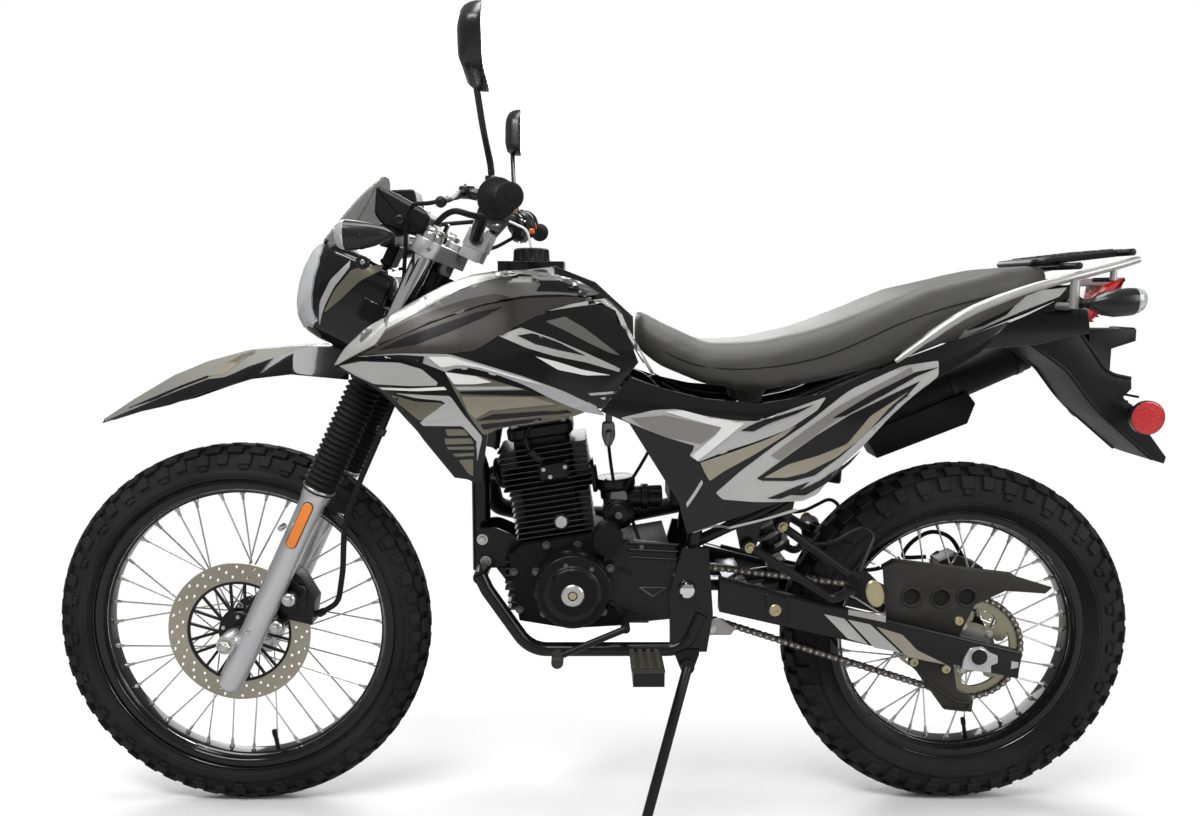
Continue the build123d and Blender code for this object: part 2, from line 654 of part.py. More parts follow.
def chain_stations(count):
    """Points evenly spaced along the chain's loop, each with the angle that faces outward."""
    reach = Vector(FRONT_SPROCKET[0] - REAR_AXLE[0], FRONT_SPROCKET[1] - REAR_AXLE[2])
    bearing = atan2(reach.Y, reach.X)
    fall = REAR_PITCH_RADIUS - FRONT_PITCH_RADIUS
    half_wrap = acos(fall / reach.length)
    run = sqrt(reach.length**2 - fall**2)
    rear_arc = REAR_PITCH_RADIUS * 2 * (pi - half_wrap)
    front_arc = FRONT_PITCH_RADIUS * 2 * half_wrap
    step = (rear_arc + front_arc + 2 * run) / count
    rear_centre = Vector(REAR_AXLE[0], REAR_AXLE[2])
    front_centre = Vector(*FRONT_SPROCKET)
    stations = []
    for index in range(count):
        gone = step * index
        centre, radius, along = rear_centre, REAR_PITCH_RADIUS, 0.0
        if gone < rear_arc:
            facing = bearing + half_wrap + gone / REAR_PITCH_RADIUS
        elif gone < rear_arc + run:
            facing = bearing - half_wrap
            along = gone - rear_arc
        elif gone < rear_arc + run + front_arc:
            centre, radius = front_centre, FRONT_PITCH_RADIUS
            facing = bearing - half_wrap + (gone - rear_arc - run) / FRONT_PITCH_RADIUS
        else:
            centre, radius = front_centre, FRONT_PITCH_RADIUS
            facing = bearing + half_wrap
            along = gone - rear_arc - run - front_arc
        out = Vector(cos(facing), sin(facing))
        stations.append((centre + out * radius + Vector(-out.Y, out.X) * along, out))
    return stations


with BuildPart() as drive_chain:
    stations = chain_stations(CHAIN_STATIONS)
    for sign, mode in ((1, Mode.ADD), (-1, Mode.SUBTRACT)):
        outline = []
        for index, (point, out) in enumerate(stations):
            corner = point + out * sign * (CHAIN_HALF_HEIGHT - CHAIN_WAIST * (index % 2))
            outline.append((corner.X, corner.Y))
        slab(outline, CHAIN_Y - CHAIN_HALF_WIDTH, CHAIN_Y + CHAIN_HALF_WIDTH, mode)
drive_chain.part.label = "drive_chain"

guard_outline = from_rear(
    [
        (167.5, 154), (147.5, 163), (-73.5, 137), (-138.5, 117), (-126.5, 106), (-54.5, 111),
        (-0.5, 85), (27.5, 22), (36.5, 22), (156.5, 52),
    ]
)
guard_holes = from_rear([(114.5, 100), (61.5, 98), (15.5, 100)])
with BuildPart() as chain_guard:
    slab(guard_outline, 94, 100 - SEAT_GAP)
    for x, z in guard_holes:
        cross_rod(x, z, 90, 102, 15, mode=Mode.SUBTRACT)
    slab(from_rear([(162.5, 151), (142.5, 163), (-73.5, 137), (-73.5, 130), (142.5, 156), (162.5, 144)]), 70, 97)
    slab(from_rear([(114.5, -19), (32.5, -28), (23.5, -77), (-7.5, -95), (-4.5, -117), (47.5, -110)]), 94, 100 - SEAT_GAP)
    slab(from_rear([(114.5, -19), (92.5, 17), (27.5, 2), (32.5, -28)]), 94, 100 - SEAT_GAP)
chain_guard.part.label = "chain_guard"

with BuildPart() as footpegs:
    for sign in (1, -1):
        block(-96, -52, sign * 127 - 24, sign * 127 + 24, 306, 333 - TUBE_RADIUS - SEAT_GAP)
        block(-88, -60, sign * 152 - 8, sign * 152 + 8, 306, 344)
        block(-100, -48, sign * 199 - 42, sign * 199 + 42, 322, 350)
        cross_rod(-259, 521, sign * 101 - 8.7, sign * 101 + 8.7, 9)
        cross_rod(-317, 558, sign * 101 - 8.7, sign * 101 + 8.7, 9)
        bent_rod(
            mirrored_y([(-259, 103, 521), (-400, 152, 440), (-436, 172, 474)], sign), [20], 8
        )
        rod((-317, sign * 103, 558), (-430, sign * 166, 484), 8)
        rod((-430, sign * 160, 479), (-450, sign * 236, 479), 17)
footpegs.part.label = "footpegs"

with BuildPart() as foot_controls:
    rod((-39, 97.8, 387), (-39, 150, 387), 8)
    rod((-39, 148, 387), (79, 152, 338), 6)
    rod((79, 140, 338), (79, 178, 338), 9)
    rod((-40, -CASE_HALF - SEAT_GAP, 381), (-40, -150, 381), 8)
    rod((-40, -146, 380), (100, -150, 372), 6)
    block(90, 125, -170, -130, 364, 380)
foot_controls.part.label = "foot_controls"

# ================= steering =================
CLAMP_LOW = 568.0
CLAMP_HIGH = 772.0
STANCHION_RADIUS = 18.5
LOWER_RADIUS = 23.0
FORK_TOP = 812.0
LOWER_TOP = 319.0
LOWER_END = -82.0

with BuildPart() as triple_clamps:
    for base, thick, ear in ((CLAMP_LOW, 34, 30), (CLAMP_HIGH, 28, 27)):
        with BuildSketch(STEER.offset(base)) as clamp:
            for sign in (1, -1):
                with Locations((FORK_OFFSET, sign * FORK_HALF_SPREAD)):
                    Circle(ear)
            Circle(30)
            make_hull()
            with Locations((FORK_OFFSET + 34, 0)):
                Circle(30, mode=Mode.SUBTRACT)
            for sign in (1, -1):
                with Locations((FORK_OFFSET, sign * FORK_HALF_SPREAD)):
                    Circle(STANCHION_RADIUS + SEAT_GAP, mode=Mode.SUBTRACT)
        extrude(clamp.sketch, amount=thick)
    rod(on_steer(0, 0, CLAMP_LOW + 5), on_steer(0, 0, CLAMP_HIGH + 40), STEM_RADIUS)
    rod(on_steer(0, 0, CLAMP_HIGH + 28), on_steer(0, 0, CLAMP_HIGH + 40), 18)
    for sign in (1, -1):
        steer_block(-52, -18, sign * 42 - 13, sign * 42 + 13, CLAMP_HIGH + 26, CLAMP_HIGH + 52)
        steer_block(-54, -16, sign * 42 - 15, sign * 42 + 15, CLAMP_HIGH + 46, CLAMP_HIGH + 80)
    for sign in (1, -1):
        rod(on_steer(-35, sign * 60, CLAMP_HIGH + 64), on_steer(-35, sign * 20, CLAMP_HIGH + 64), 11.4, mode=Mode.SUBTRACT)
triple_clamps.part.label = "triple_clamps"

with BuildPart() as fork_legs:
    for sign in (1, -1):
        y = sign * FORK_HALF_SPREAD
        rod(on_steer(FORK_OFFSET, y, LOWER_TOP - 20), on_steer(FORK_OFFSET, y, FORK_TOP), STANCHION_RADIUS)
        rod(on_steer(FORK_OFFSET, y, LOWER_END), on_steer(FORK_OFFSET, y, LOWER_TOP), LOWER_RADIUS)
        rod(on_steer(FORK_OFFSET, y, LOWER_TOP - 8), on_steer(FORK_OFFSET, y, LOWER_TOP), LOWER_RADIUS + 2.5)
        axle_end = on_steer(FORK_OFFSET + AXLE_LEAD, y, 0)
        rod(axle_end - Vector(0, 22, 0), axle_end + Vector(0, 22, 0), 17)
    cross_rod(FRONT_AXLE[0], FRONT_AXLE[2], -128, 128, AXLE_RADIUS)
    cross_rod(FRONT_AXLE[0], FRONT_AXLE[2], 117, 124, 13)
    cross_rod(FRONT_AXLE[0], FRONT_AXLE[2], 50, 74, 13)
    cross_rod(FRONT_AXLE[0], FRONT_AXLE[2], -74, -45.5, 13)
fork_legs.part.label = "fork_legs"

GAITER_FOLDS = 20
with BuildPart() as fork_gaiters:
    for sign in (1, -1):
        low = LOWER_TOP + SEAT_GAP
        pitch = (CLAMP_LOW - SEAT_GAP - low) / GAITER_FOLDS
        corners = [(STANCHION_RADIUS + SEAT_GAP, low)]
        for fold in range(GAITER_FOLDS):
            corners.append((27, low + pitch * fold))
            corners.append((31, low + pitch * (fold + 0.5)))
        corners.append((27, low + pitch * GAITER_FOLDS))
        corners.append((STANCHION_RADIUS + SEAT_GAP, low + pitch * GAITER_FOLDS))
        leg_plane = Plane(origin=on_steer(FORK_OFFSET, sign * FORK_HALF_SPREAD, 0), x_dir=STEER_X, z_dir=(0, -1, 0))
        with BuildSketch(leg_plane) as folds:
            Polygon(*corners, align=None)
        revolve(folds.sketch, axis=Axis(leg_plane.origin, STEER_Z))
fork_gaiters.part.label = "fork_gaiters"

# x and top from the front axle, half width, edge height from the axle
fender_sections = [
    (240.5, 390, 22, 383),
    (178.5, 428, 42, 403),
    (100.5, 472, 58, 421),
    (36.5, 498, 64, 444),
    (-36.5, 518, 68, 467),
    (-118.5, 525, 70, 477),
    (-215.5, 527, 60, 467),
]
FENDER_WALL = 5.0
with BuildPart() as front_fender:
    outlines = []
    for ahead, rise, half, low in fender_sections:
        (x, top), (x, edge) = from_front([(ahead, rise), (ahead, low)])
        outlines.append(
            [
                (x, half, edge), (x, half * 0.62, top), (x, -half * 0.62, top), (x, -half, edge),
                (x, -half + FENDER_WALL, edge), (x, -half * 0.62, top - FENDER_WALL),
                (x, half * 0.62, top - FENDER_WALL), (x, half - FENDER_WALL, edge),
            ]
        )
    ruled_body(outlines)
    steer_block(0, 96, -42, 42, CLAMP_LOW - 8, CLAMP_LOW - SEAT_GAP)
front_fender.part.label = "front_fender"

# u, low w, high w, half width low, half width high
cowl_sections = [
    (80, 594, 722, 76, 94),
    (130, 572, 722, 76, 92),
    (165, 560, 706, 66, 84),
    (205, 578, 692, 58, 80),
]
with BuildPart() as headlight_cowl:
    outlines = []
    for u, low, high, half_low, half_high in cowl_sections:
        corners = [(half_low * 0.5, low), (half_low, low + 30), (half_high, high - 25), (half_high * 0.7, high)]
        ring = corners + [(-y, w) for y, w in reversed(corners)]
        outlines.append([on_steer(u, y, w) for y, w in ring])
    ruled_body(outlines)
    for sign in (1, -1):
        steer_block(
            FORK_OFFSET + STANCHION_RADIUS + SEAT_GAP, 84, sign * 90 - 8, sign * 90 + 8, 625, 665
        )
headlight_cowl.part.label = "headlight_cowl"

with BuildPart() as headlight_lens:
    outlines = []
    for u, scale in ((205 + SEAT_GAP, 0.94), (217, 0.8)):
        corners = [(34 * scale, 578), (66 * scale, 606), (78 * scale, 668), (54 * scale, 686)]
        ring = corners + [(-y, w) for y, w in reversed(corners)]
        outlines.append([on_steer(u, y, w) for y, w in ring])
    ruled_body(outlines)
headlight_lens.part.label = "headlight_lens"

with BuildPart() as windscreen:
    rows = [
        (z, x, half)
        for (x, z), half in zip(from_front([(-167, 690.2), (-215.5, 755), (-275.5, 833)]), (70, 84, 44))
    ]
    for (z0, x0, h0), (z1, x1, h1) in zip(rows, rows[1:]):
        quad = [(x0, h0, z0), (x0, -h0, z0), (x1, -h1, z1), (x1, h1, z1)]
        back = [(x - 6, y, z - 3) for x, y, z in quad]
        ruled_body([quad, back])
windscreen.part.label = "windscreen"

DASH_HALF = 72.0
with BuildPart() as instruments:
    slab(
        from_front([(-271.5, 783), (-275.5, 801), (-358.5, 783), (-367.5, 755), (-356.5, 721), (-287.5, 735)]),
        -DASH_HALF,
        DASH_HALF,
    )
    slab(from_front([(-305.5, 699), (-279.5, 699), (-279.5, 739), (-305.5, 739)]), -DASH_HALF, DASH_HALF)
    steer_block(84, 104, -30, 30, 722 + SEAT_GAP, 766)
instruments.part.label = "instruments"

REFLECTOR_Y = FORK_HALF_SPREAD + LOWER_RADIUS + SEAT_GAP
head_x, head_z = from_front([(-289.5, 711)])[0]
with BuildPart() as front_signals:
    for sign in (1, -1):
        rod((head_x, sign * (DASH_HALF + SEAT_GAP), head_z), (head_x, sign * 165, head_z), 7)
        ruled_body(
            [
                [(head_x + x, sign * y, head_z + z) for x, y, z in ring]
                for ring in (
                    ((-6, 160, -20), (-6, 205, -20), (-6, 205, 16), (-6, 160, 16)),
                    ((52, 168, -16), (52, 226, -16), (52, 226, 20), (52, 168, 20)),
                )
            ]
        )
        with BuildSketch(steer_side(sign * (REFLECTOR_Y + 2))) as reflector:
            for w in (222, 292):
                with Locations((FORK_OFFSET, w)):
                    Circle(10)
            make_hull()
        extrude(reflector.sketch, amount=2, both=True)
front_signals.part.label = "front_signals"

BAR_RADIUS = 11.0
with BuildPart() as handlebar:
    for sign in (1, -1):
        route = [(-35, 0, 836), (-35, 70, 836), (-42, 180, 900), (-97, 404, 909)]
        bent_rod([on_steer(u, sign * y, w) for u, y, w in route], [30, 40], BAR_RADIUS)
    rod(on_steer(-40, -126, 870), on_steer(-40, 126, 870), 8)
handlebar.part.label = "handlebar"


def along_grip(distance, sign):
    """A point on the straight outer run of the handlebar, by its distance from the bar's end."""
    inner = Vector(-42, sign * 180, 900)
    outer = Vector(-97, sign * 404, 909)
    step = (inner - outer).normalized()
    local = outer + step * distance
    return on_steer(local.X, local.Y, local.Z)


with BuildPart() as grips:
    for sign in (1, -1):
        rod(along_grip(-6, sign), along_grip(122, sign), 16.5)
        rod(along_grip(116, sign), along_grip(124, sign), 27)
        rod(along_grip(-5, sign), along_grip(130, sign), BAR_RADIUS + SEAT_GAP, mode=Mode.SUBTRACT)
grips.part.label = "grips"

with BuildPart() as hand_controls:
    for sign in (1, -1):
        rod(along_grip(125, sign), along_grip(165, sign), 21)
        rod(along_grip(168, sign), along_grip(196, sign), 17)
        pivot = along_grip(185, sign) + Vector(38, 0, 10)
        tip = along_grip(30, sign) + Vector(92, 0, -8)
        rod(along_grip(182, sign), pivot, 11)
        rod(pivot, tip, 5.5)
        rod(along_grip(125, sign), along_grip(200, sign), BAR_RADIUS + SEAT_GAP, mode=Mode.SUBTRACT)
hand_controls.part.label = "hand_controls"

# y, height over the stem's foot, round the mirror's glass side
mirror_outline = [(292, 133), (316, 121), (420, 139), (432, 197), (404, 227), (308, 219)]
MIRROR_GLASS_SETBACK = 7.5
MIRROR_DEPTH = 36.0
MIRROR_BACK_SHARE = 0.7
with BuildPart() as mirrors:
    for sign in (1, -1):
        base = along_grip(182, sign) + Vector(0, 0, 20.2)
        rod(base, base + Vector(12, sign * 103, 141), 5)
        mid_y = sum(y for y, z in mirror_outline) / len(mirror_outline)
        mid_z = sum(z for y, z in mirror_outline) / len(mirror_outline)
        rings = []
        glass_x = base.X - MIRROR_GLASS_SETBACK
        for x, share in ((glass_x, 1.0), (glass_x + MIRROR_DEPTH, MIRROR_BACK_SHARE)):
            rings.append(
                [
                    (x, sign * (mid_y + (y - mid_y) * share), base.Z + mid_z + (z - mid_z) * share)
                    for y, z in mirror_outline
                ]
            )
        ruled_body(rings)
mirrors.part.label = "mirrors"

HOSE_TURN = on_steer(-86, 84, 144)
HOSE_END = on_steer(-66, 62, 108)
hose_run = (HOSE_END - HOSE_TURN).normalized()
with BuildPart() as front_caliper:
    rod(HOSE_END + hose_run * SEAT_GAP, HOSE_END + hose_run * 12, 7)
    rod(HOSE_END + hose_run * 9, on_steer(-45, 55, 88), 6)
    slab(from_front([(-85.5, 139), (-122.5, 111), (-146.5, 67), (-139.5, 21), (-79.5, 35), (-55.5, 85)]), 28, 70)
    cross_rod(
        FRONT_AXLE[0], FRONT_AXLE[2], FRONT_DISC_Y - 4, FRONT_DISC_Y + 4, FRONT_DISC_RADIUS + 3,
        mode=Mode.SUBTRACT,
    )
    for w in (62, 118):
        lug = on_steer(FORK_OFFSET - LOWER_RADIUS - 10 - SEAT_GAP, 0, w)
        cross_rod(lug.X, lug.Z, 62, 96, 10)
front_caliper.part.label = "front_caliper"

with BuildPart() as hose_and_cable:
    hose = [
        on_steer(-30, 118, 560), on_steer(-34, 122, 470), on_steer(-36, 124, 380), on_steer(-40, 124, 300),
        on_steer(-72, 112, 214), HOSE_TURN, HOSE_END,
    ]
    bent_rod(hose, [300, 300, 200, 100, 60], 5)
hose_and_cable.part.label = "hose_and_cable"

# ================= wheels =================
with BuildPart() as front_tyre:
    lugged_tyre(FRONT_AXLE, FRONT_RADIUS, FRONT_TYRE_HALF, FRONT_RIM_SEAT, FRONT_RIM_HALF)
front_tyre.part.label = "front_tyre"

with BuildPart() as front_wire_wheel:
    front_hub_end = FRONT_DISC_Y - DISC_THICKNESS / 2 - SEAT_GAP
    wire_wheel(FRONT_AXLE, FRONT_RIM_SEAT, FRONT_RIM_HALF, 26.0, 42.0, front_hub_end, front_hub_end)
front_wire_wheel.part.label = "front_wire_wheel"

with BuildPart() as front_disc:
    with BuildSketch(side(FRONT_DISC_Y)) as plate:
        with Locations((FRONT_AXLE[0], FRONT_AXLE[2])):
            Circle(FRONT_DISC_RADIUS)
            Circle(FRONT_DISC_RADIUS - DISC_BAND, mode=Mode.SUBTRACT)
            Circle(38)
            Circle(14, mode=Mode.SUBTRACT)
            with PolarLocations((FRONT_DISC_RADIUS - DISC_BAND + 38) / 2, 10):
                Rectangle(FRONT_DISC_RADIUS - DISC_BAND - 30, 6)
            for row, count in ((0.3, 20), (0.7, 20)):
                with PolarLocations(FRONT_DISC_RADIUS - DISC_BAND * row, count, start_angle=row * 30):
                    Circle(DISC_HOLE_RADIUS, mode=Mode.SUBTRACT)
    extrude(plate.sketch, amount=DISC_THICKNESS / 2, both=True)
front_disc.part.label = "front_disc"

with BuildPart() as rear_tyre:
    lugged_tyre(REAR_AXLE, REAR_RADIUS, REAR_TYRE_HALF, REAR_RIM_SEAT, REAR_RIM_HALF)
rear_tyre.part.label = "rear_tyre"

with BuildPart() as rear_wire_wheel:
    rear_disc_end = -REAR_DISC_Y - DISC_THICKNESS / 2 - SEAT_GAP
    wire_wheel(REAR_AXLE, REAR_RIM_SEAT, REAR_RIM_HALF, 36.0, 54.0, CARRIER_START, rear_disc_end)
rear_wire_wheel.part.label = "rear_wire_wheel"

with BuildPart() as rear_disc:
    with BuildSketch(side(REAR_DISC_Y)) as plate:
        with Locations((REAR_AXLE[0], REAR_AXLE[2])):
            Circle(REAR_DISC_RADIUS)
            Circle(REAR_DISC_RADIUS - DISC_BAND, mode=Mode.SUBTRACT)
            Circle(42)
            Circle(16, mode=Mode.SUBTRACT)
            with PolarLocations((REAR_DISC_RADIUS - DISC_BAND + 42) / 2, 6):
                Rectangle(REAR_DISC_RADIUS - DISC_BAND - 34, 14)
            for row, count in ((0.3, 18), (0.7, 18)):
                with PolarLocations(REAR_DISC_RADIUS - DISC_BAND * row, count, start_angle=row * 30):
                    Circle(DISC_HOLE_RADIUS, mode=Mode.SUBTRACT)
    extrude(plate.sketch, amount=DISC_THICKNESS / 2, both=True)
rear_disc.part.label = "rear_disc"

with BuildPart() as rear_sprocket:
    with BuildSketch(side(CHAIN_Y)) as plate:
        with Locations((REAR_AXLE[0], REAR_AXLE[2])):
            Circle(REAR_PITCH_RADIUS - CHAIN_HALF_HEIGHT - CHAIN_SEAT)
            Circle(18, mode=Mode.SUBTRACT)
            with PolarLocations(60, 5):
                Circle(15, mode=Mode.SUBTRACT)
    extrude(plate.sketch, amount=SPROCKET_THICKNESS / 2, both=True)
    turned(
        REAR_AXLE,
        [(CARRIER_START, 18), (CARRIER_START, 36), (CHAIN_Y - 3, 36), (CHAIN_Y - 3, 18)],
    )
rear_sprocket.part.label = "rear_sprocket"

# ================= side stand =================
STAND_FOOT = (-62.0, 236.0)
with BuildPart() as side_stand:
    foot_top = FLOOR.from_local_coords(Vector(STAND_FOOT[0], STAND_FOOT[1], 8))
    for start, length, radius in ((-4 + RUN_GAP, 14, 12), (-16, 26, STAND_PIN_RADIUS)):
        with BuildSketch(STAND.offset(start)) as boss:
            Circle(radius)
        extrude(boss.sketch, amount=length)
    rod(STAND.from_local_coords(Vector(0, 0, 6)), foot_top, 9)
    with BuildSketch(FLOOR) as pad:
        with Locations(STAND_FOOT):
            Rectangle(58, 42)
    extrude(pad.sketch, amount=8)
side_stand.part.label = "side_stand"

# ================= export =================
pieces = (
    frame, frame_cradle, engine_case, engine_cylinder, carburettor, exhaust_header, muffler,
    fuel_tank, fuel_cap, tank_shrouds, seat, side_panels, tail_fairing, grab_rails,
    luggage_rack, rear_lamps, rear_fender, swingarm, rear_shock, rear_caliper, drive_chain,
    chain_guard, footpegs, foot_controls, triple_clamps, fork_legs, fork_gaiters, front_fender,
    headlight_cowl, headlight_lens, windscreen, instruments, front_signals, handlebar, grips,
    hand_controls, mirrors, front_caliper, hose_and_cable, front_tyre, front_wire_wheel,
    front_disc, rear_tyre, rear_wire_wheel, rear_disc, rear_sprocket, side_stand,
)
for piece in pieces:
    export_step(piece.part.moved(PARKED), f"parts/{piece.part.label}.step")
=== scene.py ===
import math
from math import cos, pi, radians, sin, sqrt

import bmesh
import bpy
from mathutils import Matrix, Vector
from mathutils.bvhtree import BVHTree


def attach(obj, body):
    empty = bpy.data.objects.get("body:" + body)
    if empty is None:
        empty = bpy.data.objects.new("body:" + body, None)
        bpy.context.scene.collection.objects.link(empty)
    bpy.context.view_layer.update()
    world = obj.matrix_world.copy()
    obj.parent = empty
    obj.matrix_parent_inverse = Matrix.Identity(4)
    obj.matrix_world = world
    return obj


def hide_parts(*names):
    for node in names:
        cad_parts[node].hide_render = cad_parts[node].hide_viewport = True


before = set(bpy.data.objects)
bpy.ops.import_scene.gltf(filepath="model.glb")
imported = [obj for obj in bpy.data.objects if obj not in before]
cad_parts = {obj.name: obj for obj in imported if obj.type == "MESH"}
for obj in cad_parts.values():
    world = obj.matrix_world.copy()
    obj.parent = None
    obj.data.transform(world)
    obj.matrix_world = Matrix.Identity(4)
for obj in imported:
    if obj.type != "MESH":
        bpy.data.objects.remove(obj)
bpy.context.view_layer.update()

# The geometry below is written in the machine's own upright frame, in millimetres:
# X forward, Y to its left, Z up, the ground at Z = 0. PARKED leans it as the CAD does.
WHEELBASE = 1335
FRONT_RADIUS, REAR_RADIUS = 345, 328
FRONT_HALF, REAR_HALF = 43, 54  # half widths of the tyres
LEAN = radians(8.0)
RAKE = radians(25.5)
AXLE_OFFSET = 59  # front axle ahead of the steering axis, square to it
PARKED = (
    Matrix.Translation((0, 0, REAR_HALF * (1 - cos(LEAN)) / 1000))
    @ Matrix.Rotation(-LEAN, 4, "X")
    @ Matrix.Scale(0.001, 4)
)
UPRIGHT = PARKED.inverted()
X, Y, Z = Vector((1, 0, 0)), Vector((0, 1, 0)), Vector((0, 0, 1))
FRONT = Vector((WHEELBASE / 2, 0, FRONT_RADIUS))
REAR = Vector((-WHEELBASE / 2, 0, REAR_RADIUS))
STEER_U = Vector((cos(RAKE), 0, sin(RAKE)))
STEER_W = Vector((-sin(RAKE), 0, cos(RAKE)))
STEER_O = FRONT - STEER_U * AXLE_OFFSET
SIDES = (("l", 1), ("r", -1))


def on_steer(u, y, w):
    """Point from steering coordinates: u ahead of the axis, y left, w up along it."""
    return STEER_O + STEER_U * u + Y * y + STEER_W * w


# ================= materials =================
MATS = {}


def add_node(tree, kind, inputs=(), **settings):
    """A shader node with its settings, and with values on its unlinked inputs."""
    made = tree.nodes.new("ShaderNode" + kind)
    for name, value in settings.items():
        setattr(made, name, value)
    for socket, value in dict(inputs).items():
        made.inputs[socket].default_value = value
    return made


def material(name, color, rough=0.5, metal=0.0, coat=0.0, coat_rough=0.08, grain=0.0, scale=60.0,
             rough_vary=0.08, shade=0.12, alpha=1.0, transmission=0.0, sheen=0.0, cells=False, bump=0.0006,
             dust=0.0, shine=0.5):
    """A procedural finish: colour drift, roughness drift and a fine surface grain."""
    m = bpy.data.materials.new(name)
    m.use_nodes = True
    tree = m.node_tree
    link = tree.links.new
    bsdf = tree.nodes["Principled BSDF"]
    for socket, value in (("Metallic", metal), ("Coat Weight", coat), ("Coat Roughness", coat_rough),
                          ("Coat IOR", 1.34), ("Alpha", alpha), ("Transmission Weight", transmission),
                          ("Sheen Weight", sheen), ("Specular IOR Level", shine)):
        bsdf.inputs[socket].default_value = value
    coords = add_node(tree, "TexCoord").outputs["Object"]
    drift = add_node(tree, "TexNoise", {"Scale": scale * 0.12, "Detail": 5})
    link(coords, drift.inputs["Vector"])
    ramp = add_node(tree, "ValToRGB")
    low, high = ramp.color_ramp.elements
    low.position, high.position = 0.3, 0.72
    low.color = (*(c * (1 - shade) for c in color), 1)
    high.color = (*(min(1, c * (1 + shade) + dust) for c in color), 1)
    link(drift.outputs["Fac"], ramp.inputs["Fac"])
    link(ramp.outputs["Color"], bsdf.inputs["Base Color"])
    spread = add_node(tree, "MapRange", {"To Min": max(0.02, rough - rough_vary),
                                         "To Max": min(1, rough + rough_vary)})
    link(drift.outputs["Fac"], spread.inputs["Value"])
    link(spread.outputs["Result"], bsdf.inputs["Roughness"])
    if grain:
        if cells:
            fine = add_node(tree, "TexVoronoi", {"Scale": scale * 10})
        else:
            fine = add_node(tree, "TexNoise", {"Scale": scale * 6, "Detail": 4})
        link(coords, fine.inputs["Vector"])
        relief = add_node(tree, "Bump", {"Strength": grain, "Distance": bump})
        link(fine.outputs["Distance" if cells else "Fac"], relief.inputs["Height"])
        link(relief.outputs["Normal"], bsdf.inputs["Normal"])
    m.diffuse_color = (*color, 1)
    MATS[name] = m


# shared by the finishes of one kind
MOULDED = dict(cells=True, bump=0.0003)
LACQUER = dict(coat=0.8, coat_rough=0.08, grain=0.05)
REFLECTOR = dict(coat=1.0, coat_rough=0.04, grain=0.5, cells=True)

material("gloss_black", (0.006, 0.006, 0.0065), 0.16, coat=1.0, coat_rough=0.04, grain=0.05, scale=30,
         rough_vary=0.04, shine=0.15)
material("satin_black", (0.009, 0.009, 0.0095), 0.36, coat=0.15, coat_rough=0.25, grain=0.12, scale=50,
         shine=0.22)
material("frame_black", (0.007, 0.007, 0.0075), 0.24, coat=0.6, coat_rough=0.12, grain=0.10, shine=0.15)
material("case_matt", (0.008, 0.008, 0.009), 0.62, grain=0.2, scale=90, shade=0.1, shine=0.12, **MOULDED)
material("engine_black", (0.0075, 0.0075, 0.008), 0.34, coat=0.25, coat_rough=0.2, grain=0.25, scale=90,
         shine=0.22)
material("matte_black", (0.011, 0.011, 0.0115), 0.62, grain=0.25, scale=80, shine=0.15)
material("silencer_black", (0.010, 0.010, 0.010), 0.55, grain=0.3, scale=90, shine=0.18)
material("plastic_black", (0.010, 0.010, 0.0105), 0.42, grain=0.22, scale=110, shine=0.2, **MOULDED)
material("rubber_black", (0.009, 0.009, 0.0095), 0.66, grain=0.3, scale=70, dust=0.004, shine=0.18)
material("tyre_black", (0.010, 0.010, 0.0105), 0.72, grain=0.4, dust=0.012, shade=0.25, shine=0.18)
material("vinyl_black", (0.042, 0.041, 0.038), 0.5, coat=0.12, coat_rough=0.45, grain=0.35, scale=90,
         cells=True, bump=0.0004, sheen=0.1)
material("fork_silver", (0.62, 0.62, 0.63), 0.34, metal=0.75, coat=0.4, coat_rough=0.2, grain=0.08,
         shade=0.05)
material("paint_silver", (0.50, 0.50, 0.51), 0.3, metal=0.55, coat=0.7, coat_rough=0.1, grain=0.08, scale=80,
         shade=0.06)
material("rail_silver", (0.45, 0.44, 0.43), 0.38, metal=0.6, coat=0.3, coat_rough=0.2, grain=0.12, scale=80,
         shade=0.08)
material("chrome", (0.78, 0.78, 0.79), 0.1, metal=1.0, rough_vary=0.04, shade=0.03)
material("zinc", (0.58, 0.57, 0.54), 0.32, metal=1.0, grain=0.1, scale=90)
material("spoke_steel", (0.72, 0.72, 0.71), 0.24, metal=1.0, shade=0.06)
material("bronze_steel", (0.40, 0.37, 0.30), 0.36, metal=0.95, grain=0.12, scale=70, shade=0.14)
material("olive_steel", (0.30, 0.28, 0.20), 0.40, metal=0.85, grain=0.15, scale=80, shade=0.2)
material("peg_rubber", (0.040, 0.037, 0.030), 0.7, grain=0.25, scale=120, shade=0.15, shine=0.25, **MOULDED)
material("chain_steel", (0.13, 0.118, 0.10), 0.42, metal=0.85, grain=0.15, scale=90, shade=0.3)
material("bolt_dark", (0.13, 0.128, 0.12), 0.36, metal=0.8, grain=0.15, scale=90, shade=0.2)
material("header_steel", (0.014, 0.013, 0.013), 0.45, metal=0.2, grain=0.2, shade=0.3, shine=0.3)
material("cast_alloy", (0.34, 0.33, 0.32), 0.42, metal=0.85, grain=0.3, scale=70, shade=0.15)
material("brass", (0.50, 0.43, 0.26), 0.36, metal=0.9, grain=0.15, scale=80, shade=0.15)
material("graphic_silver", (0.46, 0.46, 0.45), 0.32, metal=0.35, shade=0.05, **LACQUER)
material("graphic_grey", (0.135, 0.135, 0.130), 0.34, metal=0.4, shade=0.08, **LACQUER)
material("graphic_olive", (0.165, 0.150, 0.112), 0.36, metal=0.5, **LACQUER)
material("graphic_champagne", (0.33, 0.30, 0.235), 0.34, metal=0.5, shade=0.1, **LACQUER)
